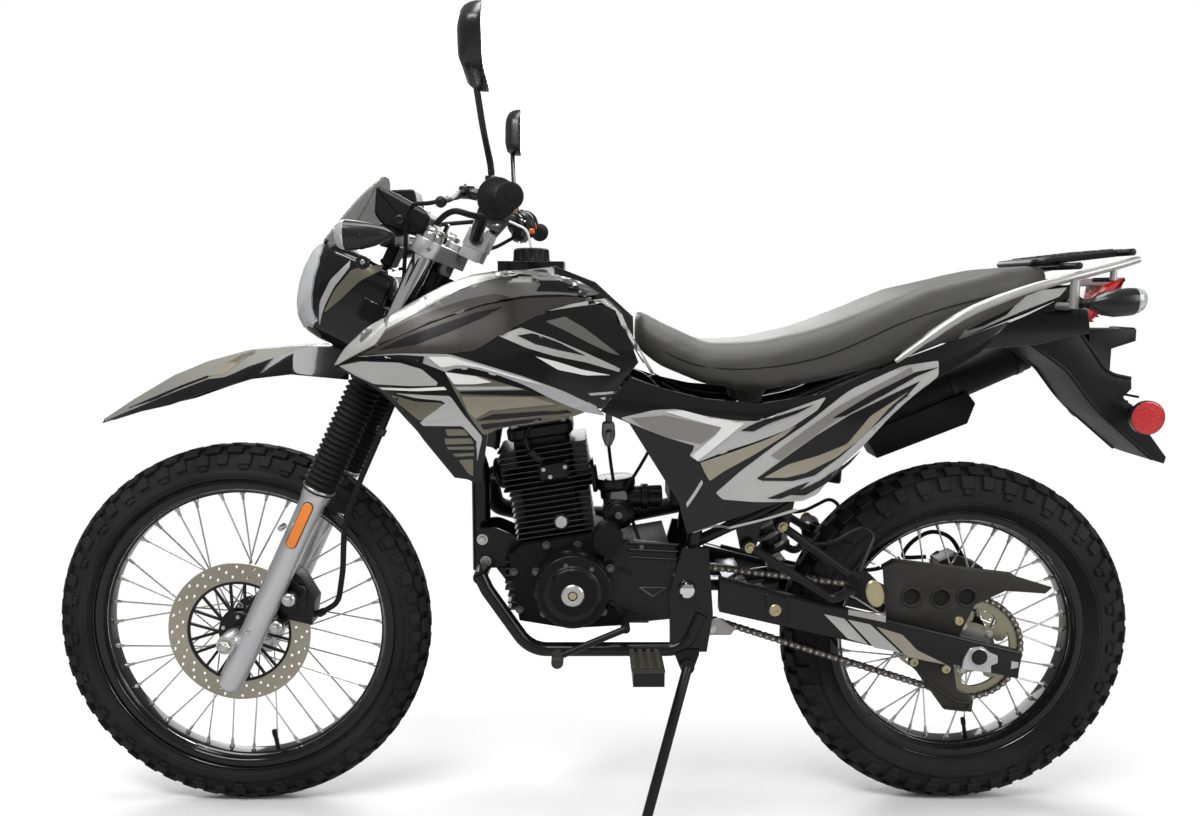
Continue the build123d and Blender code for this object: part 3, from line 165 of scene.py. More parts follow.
material("guard_silver", (0.25, 0.25, 0.225), 0.55, metal=0.1, coat=0.25, coat_rough=0.3, grain=0.06,
         shade=0.08, shine=0.3)
material("graphic_white", (0.72, 0.72, 0.71), 0.32, coat=0.7, coat_rough=0.1, grain=0.04, shade=0.03)
material("graphic_black", (0.009, 0.009, 0.010), 0.2, coat=0.7, coat_rough=0.06, grain=0.04, shade=0.05,
         shine=0.15)
material("red_plastic", (0.42, 0.012, 0.012), 0.22, coat=0.9, coat_rough=0.05, grain=0.1, scale=120,
         cells=True, bump=0.0004)
material("reflector_red", (0.50, 0.010, 0.012), 0.16, **REFLECTOR)
material("reflector_orange", (0.80, 0.22, 0.02), 0.16, **REFLECTOR)
material("orange_plastic", (0.70, 0.16, 0.015), 0.3, coat=0.5, grain=0.1)
material("signal_lens", (0.62, 0.64, 0.66), 0.12, coat=1.0, coat_rough=0.03, grain=0.3, scale=40,
         transmission=0.35)
material("lamp_lens", (0.90, 0.92, 0.93), 0.06, coat=1.0, coat_rough=0.02, grain=0.05, scale=20,
         transmission=0.6)
material("lamp_mirror", (0.80, 0.81, 0.83), 0.14, metal=1.0, grain=0.2, scale=14)
material("smoked_screen", (0.13, 0.13, 0.12), 0.1, coat=1.0, coat_rough=0.03, alpha=0.62, grain=0.03)
material("mirror_glass", (0.80, 0.82, 0.84), 0.05, metal=1.0, rough_vary=0.02, shade=0.02)
material("dial_face", (0.045, 0.046, 0.05), 0.3, coat=0.6, grain=0.05)
material("screen_grey", (0.10, 0.12, 0.11), 0.2, coat=0.9, grain=0.05)
material("graphic_olive_dark", (0.040, 0.037, 0.030), 0.24, metal=0.3, coat=0.9, coat_rough=0.05, grain=0.05,
         shade=0.2)
material("graphic_shade", (0.060, 0.057, 0.050), 0.28, metal=0.4, coat=0.9, coat_rough=0.06, grain=0.05,
         shade=0.15)
material("graphic_shade_light", (0.24, 0.235, 0.215), 0.32, metal=0.4, coat=0.8, coat_rough=0.07, grain=0.05,
         shade=0.08)
# painted highlight: a lighter grey metal laid on fin edges and on the gear cover's ridges and mark
material("edge_highlight", (0.10, 0.10, 0.10), 0.3, metal=0.8, grain=0.1, scale=80, shade=0.2)
material("carb_alloy", (0.20, 0.20, 0.195), 0.4, metal=0.8, grain=0.25, scale=80, shade=0.2)
material("signal_black", (0.012, 0.012, 0.0125), 0.28, coat=0.4, coat_rough=0.12, grain=0.15, scale=120,
         shine=0.35)
material("spring_grey", (0.16, 0.16, 0.16), 0.34, metal=0.3, coat=0.5, grain=0.1, shade=0.15)
material("guard_satin", (0.026, 0.025, 0.023), 0.5, grain=0.2, scale=110, shine=0.25, **MOULDED)


# ================= mesh builder =================
def add_object(name, data):
    obj = bpy.data.objects.new(name, data)
    bpy.context.scene.collection.objects.link(obj)
    return obj


def frame_of(axis, hint=None):
    """Two unit vectors square to an axis and to each other."""
    axis = axis.normalized()
    ref = hint or (Z if abs(axis.z) < 0.9 else X)
    side_a = axis.cross(ref).normalized()
    return side_a, axis.cross(side_a).normalized()


def circle(center, ex, ey, r, count):
    """Ring of points in the plane of ex and ey."""
    turns = [2 * pi * i / count for i in range(count)]
    return [center + (ex * cos(a) + ey * sin(a)) * r for a in turns]


class Shape:
    """Collects faces in millimetres, upright frame, then makes one parked object."""

    def __init__(self):
        self.verts = []
        self.faces = []
        self.tags = []
        self.tag = 0

    def put(self, verts, faces):
        start = len(self.verts)
        self.verts += [Vector(v) for v in verts]
        self.faces += [[i + start for i in f] for f in faces]
        self.tags += [self.tag] * len(faces)

    def loft(self, rings, wrap=False):
        """Skin over the rings in turn: with both ends capped, or wrapped from the last to the first."""
        n, count = len(rings[0]), len(rings)
        faces = []
        for k in range(count if wrap else count - 1):
            a, b = k * n, (k + 1) % count * n
            for i in range(n):
                j = (i + 1) % n
                faces.append([a + i, a + j, b + j, b + i])
        if not wrap:
            faces.append(list(range(n))[::-1])
            faces.append([(count - 1) * n + i for i in range(n)])
        self.put([p for ring in rings for p in ring], faces)

    def grid(self, rows):
        """Skin over rows of points, open at its edges."""
        n = len(rows[0])
        self.put([p for row in rows for p in row],
                 [[i * n + j, i * n + j + 1, (i + 1) * n + j + 1, (i + 1) * n + j]
                  for i in range(len(rows) - 1) for j in range(n - 1)])

    def lathe(self, origin, axis, profile, seg=48, closed=False):
        """A turned part. profile: (distance along axis, radius) from one end to the other."""
        axis = axis.normalized()
        ex, ey = frame_of(axis)
        rings = []
        for h, r in profile:
            c = origin + axis * h
            rings.append(circle(c, ex, ey, r, seg))
        self.loft(rings, closed)

    def across(self, x, z, profile, seg=48, sign=1, closed=False):
        """A turned part lying across the machine. profile: (distance from the centre plane, radius)."""
        self.lathe(Vector((x, 0, z)), Y * sign, profile, seg, closed)

    def cyl(self, a, b, r, r2=None, seg=24, edge=0.0):
        """A round bar from a to b, tapering from r to r2, its rims eased."""
        a, b = Vector(a), Vector(b)
        r2 = r if r2 is None else r2
        length = (b - a).length
        e = min(edge, length * 0.45, r * 0.9, r2 * 0.9)
        profile = [(0, r), (length, r2)]
        if e > 0:
            profile = [(0, r - e), (e, r), (length - e, r2), (length, r2 - e)]
        self.lathe(a, b - a, profile, seg)

    def box(self, low, high, edge=0.0, basis=None, origin=None):
        """Box from low to high corner, in an optional frame (three axes and an origin)."""
        bx, by, bz = basis or (X, Y, Z)
        o = origin or Vector((0, 0, 0))
        (x0, x1), (y0, y1), (z0, z1) = (sorted(pair) for pair in zip(low, high))
        e = min(edge, (x1 - x0) * 0.45, (y1 - y0) * 0.45, (z1 - z0) * 0.45)

        def ring(x_in, z):
            pts = [(x0 + x_in, y0 + e), (x0 + e, y0 + x_in), (x1 - e, y0 + x_in), (x1 - x_in, y0 + e),
                   (x1 - x_in, y1 - e), (x1 - e, y1 - x_in), (x0 + e, y1 - x_in), (x0 + x_in, y1 - e)]
            return [o + bx * p[0] + by * p[1] + bz * z for p in pts]
        if e > 0:
            self.loft([ring(e, z0), ring(0, z0 + e), ring(0, z1 - e), ring(e, z1)])
        else:
            corners = [(x0, y0), (x1, y0), (x1, y1), (x0, y1)]
            self.put([o + bx * x + by * y + bz * z for z in (z0, z1) for x, y in corners],
                     [[3, 2, 1, 0], [4, 5, 6, 7], [0, 1, 5, 4], [1, 2, 6, 5], [2, 3, 7, 6], [3, 0, 4, 7]])

    def steer_box(self, low, high, edge):
        """Box in steering coordinates."""
        self.box(low, high, edge, (STEER_U, Y, STEER_W), STEER_O)

    def tube(self, points, r, seg=12, round_by=6, radii=None, flat=1.0, smooth=True):
        """A round bar through the points, eased at its corners."""
        pts = [Vector(p) for p in points]
        rs = list(radii) if radii else [r] * len(pts)
        if smooth and len(pts) > 2:
            pts, rs = eased(pts, rs, round_by)
        rings = []
        ex = frame_of((pts[1] - pts[0]).normalized())[0]
        for i, p in enumerate(pts):
            if i == 0:
                t = pts[1] - p
            elif i == len(pts) - 1:
                t = p - pts[-2]
            else:
                t = (pts[i + 1] - p).normalized() + (p - pts[i - 1]).normalized()
            t = t.normalized()
            ex = (ex - t * ex.dot(t)).normalized()
            ey = t.cross(ex).normalized()
            turns = [2 * pi * k / seg for k in range(seg)]
            rings.append([p + (ex * cos(a) + ey * flat * sin(a)) * rs[i] for a in turns])
        self.loft(rings)

    def slab(self, outline, y0, y1, edge=1.0):
        """Side-view outline (x, z) carried across from y0 to y1, its edges eased."""
        self.prism(outline, lambda x, z, y: Vector((x, y, z)), y0, y1, edge)

    def prism(self, outline, place, h0, h1, edge=1.0):
        """A flat outline carried from level h0 to h1, where place(a, b, level) gives the points."""
        area = sum(a[0] * b[1] - b[0] * a[1] for a, b in zip(outline, outline[1:] + outline[:1]))
        pts = outline if area > 0 else outline[::-1]
        h0, h1 = sorted((h0, h1))
        e = min(edge, (h1 - h0) * 0.45)
        inner = inset(pts, e) if e > 0 else pts
        rings = [[place(x, z, h0) for x, z in inner]]
        if e > 0:
            rings.append([place(x, z, h0 + e) for x, z in pts])
            rings.append([place(x, z, h1 - e) for x, z in pts])
        rings.append([place(x, z, h1) for x, z in inner])
        self.loft(rings)

    def bolt(self, p, n, r=6.0, h=5.0, washer=True):
        """Hex head bolt standing on p, pointing along n."""
        p, n = Vector(p), Vector(n).normalized()
        if washer:
            self.cyl(p, p + n * 1.2, r * 1.45, seg=16)
        base = p + n * (1.2 if washer else 0)
        ex, ey = frame_of(n)
        rings = []
        for height, rad in ((0, r), (h * 0.8, r), (h, r * 0.86)):
            rings.append(circle(base + n * height, ex, ey, rad, 6))
        self.loft(rings)

    def mirror(self):
        """Adds the same faces on the other side of the centre plane."""
        n = len(self.verts)
        self.verts += [Vector((v.x, -v.y, v.z)) for v in self.verts]
        self.faces += [[i + n for i in reversed(f)] for f in self.faces]
        self.tags += list(self.tags)

    def make(self, name, mats, body, replaces=(), angle=35.0, wall=0.0):
        """The parked object, with a finish per tag, its body, and the CAD nodes that it stands for."""
        mesh = bpy.data.meshes.new(name)
        mesh.from_pydata([PARKED @ v for v in self.verts], [], self.faces)
        mats = [mats] if isinstance(mats, str) else mats
        for m in mats:
            mesh.materials.append(MATS[m])
        for poly, tag in zip(mesh.polygons, self.tags):
            poly.material_index = min(tag, len(mats) - 1)
        mesh.validate()
        bm = bmesh.new()
        bm.from_mesh(mesh)
        bmesh.ops.remove_doubles(bm, verts=bm.verts, dist=1e-6)
        bmesh.ops.recalc_face_normals(bm, faces=bm.faces)
        bm.to_mesh(mesh)
        bm.free()
        obj = add_object(name, mesh)
        if wall:
            add_wall(obj, wall)
            apply_all(obj)
        shade_smooth(obj, angle)
        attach(obj, body)
        if replaces:
            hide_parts(*replaces)
        return obj


def add_modifier(obj, kind, **settings):
    """Hang a modifier on an object and set it up."""
    modifier = obj.modifiers.new(kind.lower(), kind)
    for key, value in settings.items():
        setattr(modifier, key, value)
    return modifier


def add_wall(obj, thick):
    """Thicken a skin inwards."""
    add_modifier(obj, "SOLIDIFY", thickness=thick / 1000, offset=-1)


def shade_smooth(obj, angle):
    """Smooth shading, apart from edges sharper than angle."""
    obj.data.polygons.foreach_set("use_smooth", [True] * len(obj.data.polygons))
    obj.data.set_sharp_from_angle(angle=radians(angle))


def apply_all(obj):
    """Turn an object's modifiers into its mesh."""
    deps = bpy.context.evaluated_depsgraph_get()
    mesh = bpy.data.meshes.new_from_object(obj.evaluated_get(deps))
    obj.modifiers.clear()
    obj.data = mesh


def inset(pts, d):
    """Outline moved inwards by d, corner by corner, counter-clockwise."""
    out = []
    n = len(pts)
    for i in range(n):
        p, q, r = Vector(pts[i - 1]), Vector(pts[i]), Vector(pts[(i + 1) % n])
        a, b = (q - p).normalized(), (r - q).normalized()
        na, nb = Vector((-a.y, a.x)), Vector((-b.y, b.x))
        m = na + nb
        k = max(0.35, 1 + na.dot(nb))
        out.append(tuple(q + m * (d / k)))
    return out


def eased(pts, rs, steps):
    """Rounds the corners of a path with quadratic arcs."""
    out, rad = [pts[0]], [rs[0]]
    for i in range(1, len(pts) - 1):
        a, b, c = pts[i - 1], pts[i], pts[i + 1]
        la, lc = (b - a).length, (c - b).length
        cut = min(la, lc) * 0.45
        s, e = b + (a - b) / la * cut, b + (c - b) / lc * cut
        for k in range(steps + 1):
            t = k / steps
            out.append(s * (1 - t) ** 2 + b * 2 * t * (1 - t) + e * t * t)
            rad.append(rs[i])
    out.append(pts[-1])
    rad.append(rs[-1])
    return out, rad


def smooth_outline(pts, steps, share):
    """Closed outline with its corners rounded, over a share of their shorter side."""
    out = []
    n = len(pts)
    for i in range(n):
        a, b, c = Vector(pts[i - 1]), Vector(pts[i]), Vector(pts[(i + 1) % n])
        cut = min((b - a).length, (c - b).length) * share
        s, e = b + (a - b).normalized() * cut, b + (c - b).normalized() * cut
        for k in range(steps + 1):
            t = k / steps
            out.append(tuple(s * (1 - t) ** 2 + b * 2 * t * (1 - t) + e * t * t))
    return out


def disc_loop(cx, cy, r, seg):
    return [(cx + r * cos(2 * pi * k / seg), cy + r * sin(2 * pi * k / seg)) for k in range(seg)]


def plate(name, loops, place, h0, h1, mats, body, edge=0.4, **more):
    """Flat plate with holes: the first loop is its rim, the others are cut out."""
    curve = bpy.data.curves.new(name + "_c", "CURVE")
    curve.dimensions = "2D"
    curve.fill_mode = "BOTH"
    curve.extrude = abs(h1 - h0) / 2 - edge
    curve.bevel_depth = edge
    curve.bevel_resolution = 0
    for loop in loops:
        sp = curve.splines.new("POLY")
        sp.points.add(len(loop) - 1)
        for q, (a, b) in zip(sp.points, loop):
            q.co = (a, b, 0, 1)
        sp.use_cyclic_u = True
    tmp = add_object(name + "_c", curve)
    deps = bpy.context.evaluated_depsgraph_get()
    mesh = bpy.data.meshes.new_from_object(tmp.evaluated_get(deps))
    bpy.data.objects.remove(tmp)
    mid = (h0 + h1) / 2
    s = Shape()
    s.put([place(v.co.x, v.co.y, mid + v.co.z) for v in mesh.vertices],
          [list(p.vertices) for p in mesh.polygons])
    return s.make(name, mats, body, **more)


def side_place(a, b, h):
    return Vector((a, h, b))


def signal_ring(x, y, z, half_y, half_z, sign):
    """Squarish ring across a turn signal's length."""
    ring = []
    for i in range(32):
        c, d = cos(2 * pi * i / 32), sin(2 * pi * i / 32)
        ring.append(Vector((x, sign * (y + half_y * math.copysign(abs(c) ** 0.8, c)),
                            z + half_z * math.copysign(abs(d) ** 0.85, d))))
    return ring


def around(center):
    """Places wheel drawings: first coordinate forward, second up, third across."""
    return lambda a, b, h: Vector((center.x + a, h, center.z + b))


# ================= stage, light, camera =================
WORLD_LEVEL = 0.30  # light from all round
GLOSS_LEVEL = 0.06  # how much of the white surroundings gloss shows
FLOOR_HALF = 30.0
FADE_START, FADE_END = 0.9, 2.6  # metres from the centre, over which the floor turns plain white
WHITE = (1, 1, 1, 1)


def make_floor():
    mesh = bpy.data.meshes.new("floor")
    s = FLOOR_HALF
    mesh.from_pydata([(-s, -s, 0), (s, -s, 0), (s, s, 0), (-s, s, 0)], [], [(0, 1, 2, 3)])
    m = bpy.data.materials.new("floor_white")
    m.use_nodes = True
    tree = m.node_tree
    link = tree.links.new
    bsdf = tree.nodes["Principled BSDF"]
    bsdf.inputs["Roughness"].default_value = 0.7
    seen = add_node(tree, "LightPath").outputs["Is Camera Ray"]
    # a paler floor for the camera than for the light that bounces off it
    shade = add_node(tree, "MixRGB", {"Color1": (0.5, 0.5, 0.5, 1), "Color2": (0.92, 0.92, 0.92, 1)})
    link(seen, shade.inputs["Fac"])
    link(shade.outputs["Color"], bsdf.inputs["Base Color"])
    # the far floor fades to plain white for the camera, so that no horizon shows
    far = add_node(tree, "VectorMath", operation="LENGTH")
    link(add_node(tree, "TexCoord").outputs["Object"], far.inputs[0])
    fade = add_node(tree, "MapRange", {"From Min": FADE_START, "From Max": FADE_END},
                    interpolation_type="SMOOTHSTEP")
    link(far.outputs["Value"], fade.inputs["Value"])
    both = add_node(tree, "Math", operation="MULTIPLY")
    link(fade.outputs["Result"], both.inputs[0])
    link(seen, both.inputs[1])
    glow = add_node(tree, "Emission", {"Color": WHITE, "Strength": 1.0})
    mix = add_node(tree, "MixShader")
    for source, socket in ((both, "Fac"), (bsdf, 1), (glow, 2)):
        link(source.outputs[0], mix.inputs[socket])
    link(mix.outputs[0], tree.nodes["Material Output"].inputs["Surface"])
    mesh.materials.append(m)
    add_object("floor", mesh)


def make_world():
    """Plain light, and white for the camera, through glass and, weakly, in gloss."""
    world = bpy.data.worlds.new("studio")
    bpy.context.scene.world = world
    world.use_nodes = True
    tree = world.node_tree
    tree.nodes.clear()
    link = tree.links.new
    out = add_node(tree, "OutputWorld")
    path = add_node(tree, "LightPath").outputs
    plain = add_node(tree, "Background", {"Color": WHITE, "Strength": WORLD_LEVEL})
    shown = add_node(tree, "Background", {"Color": WHITE, "Strength": 1.0})
    glossy = add_node(tree, "Math", {1: GLOSS_LEVEL}, operation="MULTIPLY")
    link(path["Is Glossy Ray"], glossy.inputs[0])
    level = path["Is Camera Ray"]
    for other in (glossy.outputs[0], path["Is Transmission Ray"]):
        most = add_node(tree, "Math", operation="MAXIMUM")
        link(level, most.inputs[0])
        link(other, most.inputs[1])
        level = most.outputs[0]
    mix = add_node(tree, "MixShader")
    for source, socket in ((level, "Fac"), (plain.outputs[0], 1), (shown.outputs[0], 2)):
        link(source, mix.inputs[socket])
    link(mix.outputs[0], out.inputs["Surface"])


# name, place, aimed at, size, power
LAMPS = (
    ("key", (1.2, 2.6, 3.4), (0, 0, 0.6), (2.6, 0.9), 95),
    ("top", (-0.3, 0.2, 3.4), (0, 0, 0.6), (3.2, 0.9), 70),
    ("fill_rear", (-3.0, 2.2, 1.6), (-0.3, 0, 0.6), (1.6, 1.6), 45),
    ("far", (0.5, -3.2, 2.6), (0, 0, 0.6), (3.2, 1.8), 80),
)


def make_lamps():
    for name, place, target, size, power in LAMPS:
        lamp = bpy.data.lights.new(name, "AREA")
        lamp.shape = "RECTANGLE"
        lamp.size, lamp.size_y = size
        lamp.energy = power
        obj = add_object(name, lamp)
        obj.location = place
        obj.rotation_euler = (Vector(target) - Vector(place)).to_track_quat("-Z", "Y").to_euler()


# fitted to the tyres, the front disc and the axles in the photograph
CAMERA_LENS = 27.986
CAMERA_PLACE = Vector((0.0278022, 1.8267146, 0.722776))
CAMERA_RIGHT = Vector((-0.99991098, 0.01317374, 0.00211928))
CAMERA_UP = Vector((0.00231562, 0.0149058, 0.99988622))
CAMERA_VIEW = Vector((-0.01314065, -0.99980212, 0.01493498))


def make_camera():
    lens = bpy.data.cameras.new("photo_camera")
    lens.sensor_width = 36
    lens.lens = CAMERA_LENS
    lens.clip_start = 0.05
    camera = add_object("photo_camera", lens)
    place = Matrix((CAMERA_RIGHT, CAMERA_UP, -CAMERA_VIEW)).transposed().to_4x4()
    place.translation = CAMERA_PLACE
    camera.matrix_world = place
    bpy.context.scene.camera = camera


make_floor()
make_world()
make_lamps()
make_camera()
bpy.context.scene.view_settings.view_transform = "Standard"

# ================= finishes of the carried-over CAD nodes =================
FINISH = {
    "frame_black": "frame frame_cradle swingarm",
    "engine_black": "engine_case engine_cylinder",
    "cast_alloy": "carburettor",
    "header_steel": "exhaust_header",
    "silencer_black": "muffler",
    "gloss_black": "fuel_tank tank_shrouds side_panels tail_fairing front_fender headlight_cowl"
                   " front_wire_wheel rear_wire_wheel",
    "plastic_black": "fuel_cap rear_fender chain_guard instruments front_signals mirrors",
    "vinyl_black": "seat",
    "rail_silver": "grab_rails",
    "satin_black": "luggage_rack rear_shock rear_caliper footpegs foot_controls handlebar hand_controls"
                   " front_caliper side_stand",
    "red_plastic": "rear_lamps",
    "chain_steel": "drive_chain",
    "fork_silver": "triple_clamps fork_legs",
    "rubber_black": "fork_gaiters grips hose_and_cable",
    "lamp_lens": "headlight_lens",
    "smoked_screen": "windscreen",
    "tyre_black": "front_tyre rear_tyre",
    "bronze_steel": "front_disc rear_disc",
    "olive_steel": "rear_sprocket",
}
for finish, nodes in FINISH.items():
    for node in nodes.split():
        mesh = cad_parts[node].data
        mesh.materials.clear()
        mesh.materials.append(MATS[finish])


# ================= tyres =================
KNOB_DEPTH = 8.5
KNOB_EASE = 1.3


def knob(s, axle, crown, turns, leans, half, centre_r, top_r, deep):
    """One tread block between two turns about the axle and two leans across the crown."""
    def at(theta, phi, down):
        r = min(centre_r + (half - down) * cos(phi), top_r - down)
        return Vector((axle.x + r * cos(theta), (half - down) * sin(phi), axle.z + r * sin(theta)))
    (theta0, theta1), (phi0, phi1) = turns, leans
    middle = (phi0 + phi1) / 2
    dt, dp = KNOB_EASE / centre_r, KNOB_EASE / half
    rings = []
    for down, t, p in ((crown + deep, -0.3 * dt, -0.3 * dp), (KNOB_EASE, 0, 0), (0, dt, dp)):
        first, last, low, high = theta0 + t, theta1 - t, phi0 + p, phi1 - p
        rings.append([at(first, low, down), at(first, middle, down), at(first, high, down),
                      at(last, high, down), at(last, middle, down), at(last, low, down)])
    s.loft(rings)


def tread_rows(odd):
    """Rows of one pitch: leans across the crown in degrees, phase, start and end in pitches, how much
    narrower than the tyre and wider round, depth."""
    long = 0.60 if odd else 0.50
    rows = [(1.2, 17, 0.0, 0.04, 0.72, 0, 0, 5.0), (21.5, 43, 0.62, 0, 0.66, 0, 0, 5.0),
            (49, 76, 0.18, 0, long, 1.5, 0.6, 5.0)]
    if odd:
        rows.append((76, 89, 0.18, 0.1, long - 0.1, 3.5, 0.6, 3.0))
    return rows


def tyre(name, node, axle, radius, half, seat, rim_half, pitches, crown):
    s = Shape()
    inner = half - crown
    centre_r = radius - half
    top_r = axle.z - TREAD_SINK[name]
    profile = []
    for k in range(-7, 8):
        phi = radians(13.0 * k)
        profile.append((inner * sin(phi) * (1 + 0.05 * abs(sin(phi))), centre_r + inner * cos(phi)))
    bead = rim_half - 3.6
    wall = [(half - 1.5, centre_r - 6), (half - 1.2, centre_r - 12), (half - 2.4, centre_r - 13),
            (half - 2.6, centre_r - 17), (half - 4.2, centre_r - 18), (half * 0.80, seat + 23),
            (bead + 4.5, seat + 17), (bead + 4.2, seat + 14.5), (bead, seat + 13.6), (bead, seat + 0.4)]
    s.lathe(axle, Y, [(-y, r) for y, r in reversed(wall)] + profile + wall, 120, closed=True)
    pitch = 2 * pi / pitches
    for i in range(pitches):
        for sign in (1, -1):
            for low, high, phase, start, end, narrow, wide, deep in tread_rows(i % 2):
                turn = pitch * (i + (phase + (0 if sign > 0 else 0.5)) % 1)
                leans = sorted((sign * radians(low), sign * radians(high)))
                knob(s, axle, crown, (turn + pitch * start, turn + pitch * end), leans, half - narrow,
                     centre_r + wide, top_r, deep)
    s.make(name, "tyre_black", node.replace("tyre", "wheel"), replaces=[node], angle=28)


# the tread stays this far inside the CAD tyre's radius
TREAD_SINK = {"front_knobby_tyre": 1.3, "rear_knobby_tyre": 1.7}
tyre("front_knobby_tyre", "front_tyre", FRONT, FRONT_RADIUS, FRONT_HALF, 267, 26, 52, KNOB_DEPTH)
tyre("rear_knobby_tyre", "rear_tyre", REAR, REAR_RADIUS, REAR_HALF, 228, 32, 46, KNOB_DEPTH + 1)


# ================= rims, spokes, hubs =================
SPOKE_COUNT = 36
SPOKE_LEAD = 62  # degrees between a spoke's two ends
HUB_FLANGE_HALF = 33


def rim(name, node, axle, seat, half, body):
    flange = seat + 12.8
    well = seat - 15
    s = Shape()
    outer = [(half, flange - 1.2), (half - 0.8, flange), (half - 2.2, flange), (half - 3, flange - 1.5),
             (half - 3.2, seat + 2), (half - 5, seat - 0.3), (half * 0.5, seat - 3), (half * 0.36, well + 5),
             (half * 0.2, well + 3)]
    under = [(half * 0.2, well + 0.4), (half * 0.42, well + 1), (half * 0.56, seat - 8.5),
             (half * 0.82, seat - 5.5), (half - 1.6, seat - 3), (half - 0.4, seat + 1)]
    loop = outer + [(-y, r) for y, r in reversed(outer)] + [(-y, r) for y, r in reversed(under)] + under
    s.lathe(axle, Y, loop, 120, closed=True)
    s.tag = 1
    for y, r, w in ((half - 0.3, flange - 0.6, 0.9), (half * 0.56, seat - 9.3, 0.7)):
        for sign in (1, -1):
            s.lathe(axle, Y, [(sign * y - w, r - w * 0.6), (sign * y, r + w * 0.8),
                              (sign * y + w, r - w * 0.6), (sign * y, r - w)], 120, closed=True)
    s.make(name + "_rim", ["gloss_black", "chrome"], body, replaces=[node], angle=40)


def spokes(name, axle, seat, flange_r, body):
    s = Shape()
    reach, hole = seat - 15, flange_r - 5
    for i in range(SPOKE_COUNT):
        turn = 2 * pi * i / SPOKE_COUNT
        flank = 1 if i % 2 else -1
        ahead = 1 if i % 4 < 2 else -1
        foot_turn = turn + radians(SPOKE_LEAD) * ahead
        foot = axle + Vector((hole * cos(foot_turn), flank * (HUB_FLANGE_HALF + 1.6 * ahead),
                              hole * sin(foot_turn)))
        head = axle + Vector((reach * cos(turn), flank * 4.0, reach * sin(turn)))
        run = (head - foot).normalized()
        s.tag = 0
        s.tube([foot, head], 1.55, 8, smooth=False)
        s.cyl(foot - Y * flank * 3, foot + Y * flank * 3, 2.4, seg=8)
        s.tag = 1
        s.cyl(head - run * 15, head - run * 1, 2.6, 3.3, seg=8)
        s.cyl(head - run * 4, head + run * 1.5, 4.6, seg=10)
    s.make(name + "_spokes", ["spoke_steel", "zinc"], body, angle=40)


def hub(name, axle, hub_r, flange_r, left_end, right_end, body):
    s = Shape()
    flank = [(20, hub_r * 0.80), (27, hub_r + 2), (30, flange_r - 1.5), (31.5, flange_r), (34.5, flange_r),
             (36, flange_r - 1.5), (37, hub_r * 0.8)]
    end_r = hub_r * 0.78
    barrel = [(right_end, 9.5), (right_end, end_r - 2), (right_end + 2, end_r)]
    barrel += [(-y, r) for y, r in reversed(flank)] + [(0, hub_r * 0.72)] + flank
    barrel += [(left_end - 2, end_r), (left_end, end_r - 2), (left_end, 9.5)]
    s.lathe(axle, Y, barrel, 56, closed=True)
    s.make(name + "_hub", "engine_black", body, angle=35)


VALVE_TURN = -1.75


def valve(name, axle, seat, body):
    s = Shape()
    stem = axle + Vector(((seat - 18) * cos(VALVE_TURN), 0, (seat - 18) * sin(VALVE_TURN)))
    inward = (axle - stem).normalized()
    s.cyl(stem - inward * 3, stem + inward * 20, 3.6, seg=12)
    s.cyl(stem + inward * 18, stem + inward * 32, 4.6, seg=12, edge=1)
    s.make(name + "_valve", "rubber_black", body)


# name, axle, bead seat radius, rim half width, hub and flange radius, hub ends to left and right
for name, axle, seat, half, hub_r, flange_r, left_end, right_end in (
        ("front", FRONT, 267, 26, 26, 42, 44.7, -44.7), ("rear", REAR, 228, 32, 36, 54, 41, -59.7)):
    body = name + "_wheel"
    rim(name, name + "_wire_wheel", axle, seat, half, body)
    spokes(name, axle, seat, flange_r, body)
    hub(name, axle, hub_r, flange_r, left_end, right_end, body)
    valve(name, axle, seat, body)


# ================= discs, sprocket, chain =================
def brake_disc(name, node, axle, radius, band, y, hub_r, arms, rows, body):
    """Drilled band on a spider of arms. rows: share of the band inwards, hole count, start in pitches."""
    inner = radius - band
    loops = [disc_loop(0, 0, radius, 120), disc_loop(0, 0, inner, 96)]
    for share, count, start in rows:
        r = radius - band * share
        for k in range(count):
            a = 2 * pi * (k + start) / count
            loops.append(disc_loop(r * cos(a), r * sin(a), 3.1, 14))
    plate(name + "_band", loops, around(axle), y - 1.9, y + 1.9, "bronze_steel", body, replaces=[node])
    s = Shape()
    s.lathe(axle, Y, [(y - 2, inner - 0.4), (y - 2.3, inner - 5), (y + 2.3, inner - 5), (y + 2, inner - 0.4)],
            96, closed=True)
    s.lathe(axle, Y, [(y - 2.0, hub_r), (y - 2.4, 15), (y + 3.2, 15), (y + 3.6, hub_r - 2), (y + 2.2, hub_r)],
            56, closed=True)
    for k in range(arms):
        a = 2 * pi * k / arms
        for lean in (-1, 1):
            b = a + lean * 0.55 * pi / arms
            p = axle + Vector((cos(a) * (hub_r - 2), y, sin(a) * (hub_r - 2)))
            q = axle + Vector((cos(b) * (inner - 3), y, sin(b) * (inner - 3)))
            run = (q - p).normalized()
            across = Y.cross(run)
            s.box((0, -2.6, -2.0), ((q - p).length, 2.6, 2.0), 0.6, (run, across, Y), p)
    s.tag = 1
    side = 1 if y > 0 else -1
    for k in range(arms // 2):
        a = 2 * pi * (k + 0.25) / (arms // 2)
        s.bolt(axle + Vector((cos(a) * (hub_r - 9), y + side * 3.4, sin(a) * (hub_r - 9))), Y * side, 4.2,
               3.5, False)
    s.make(name + "_spider", ["satin_black", "zinc"], body, angle=35)


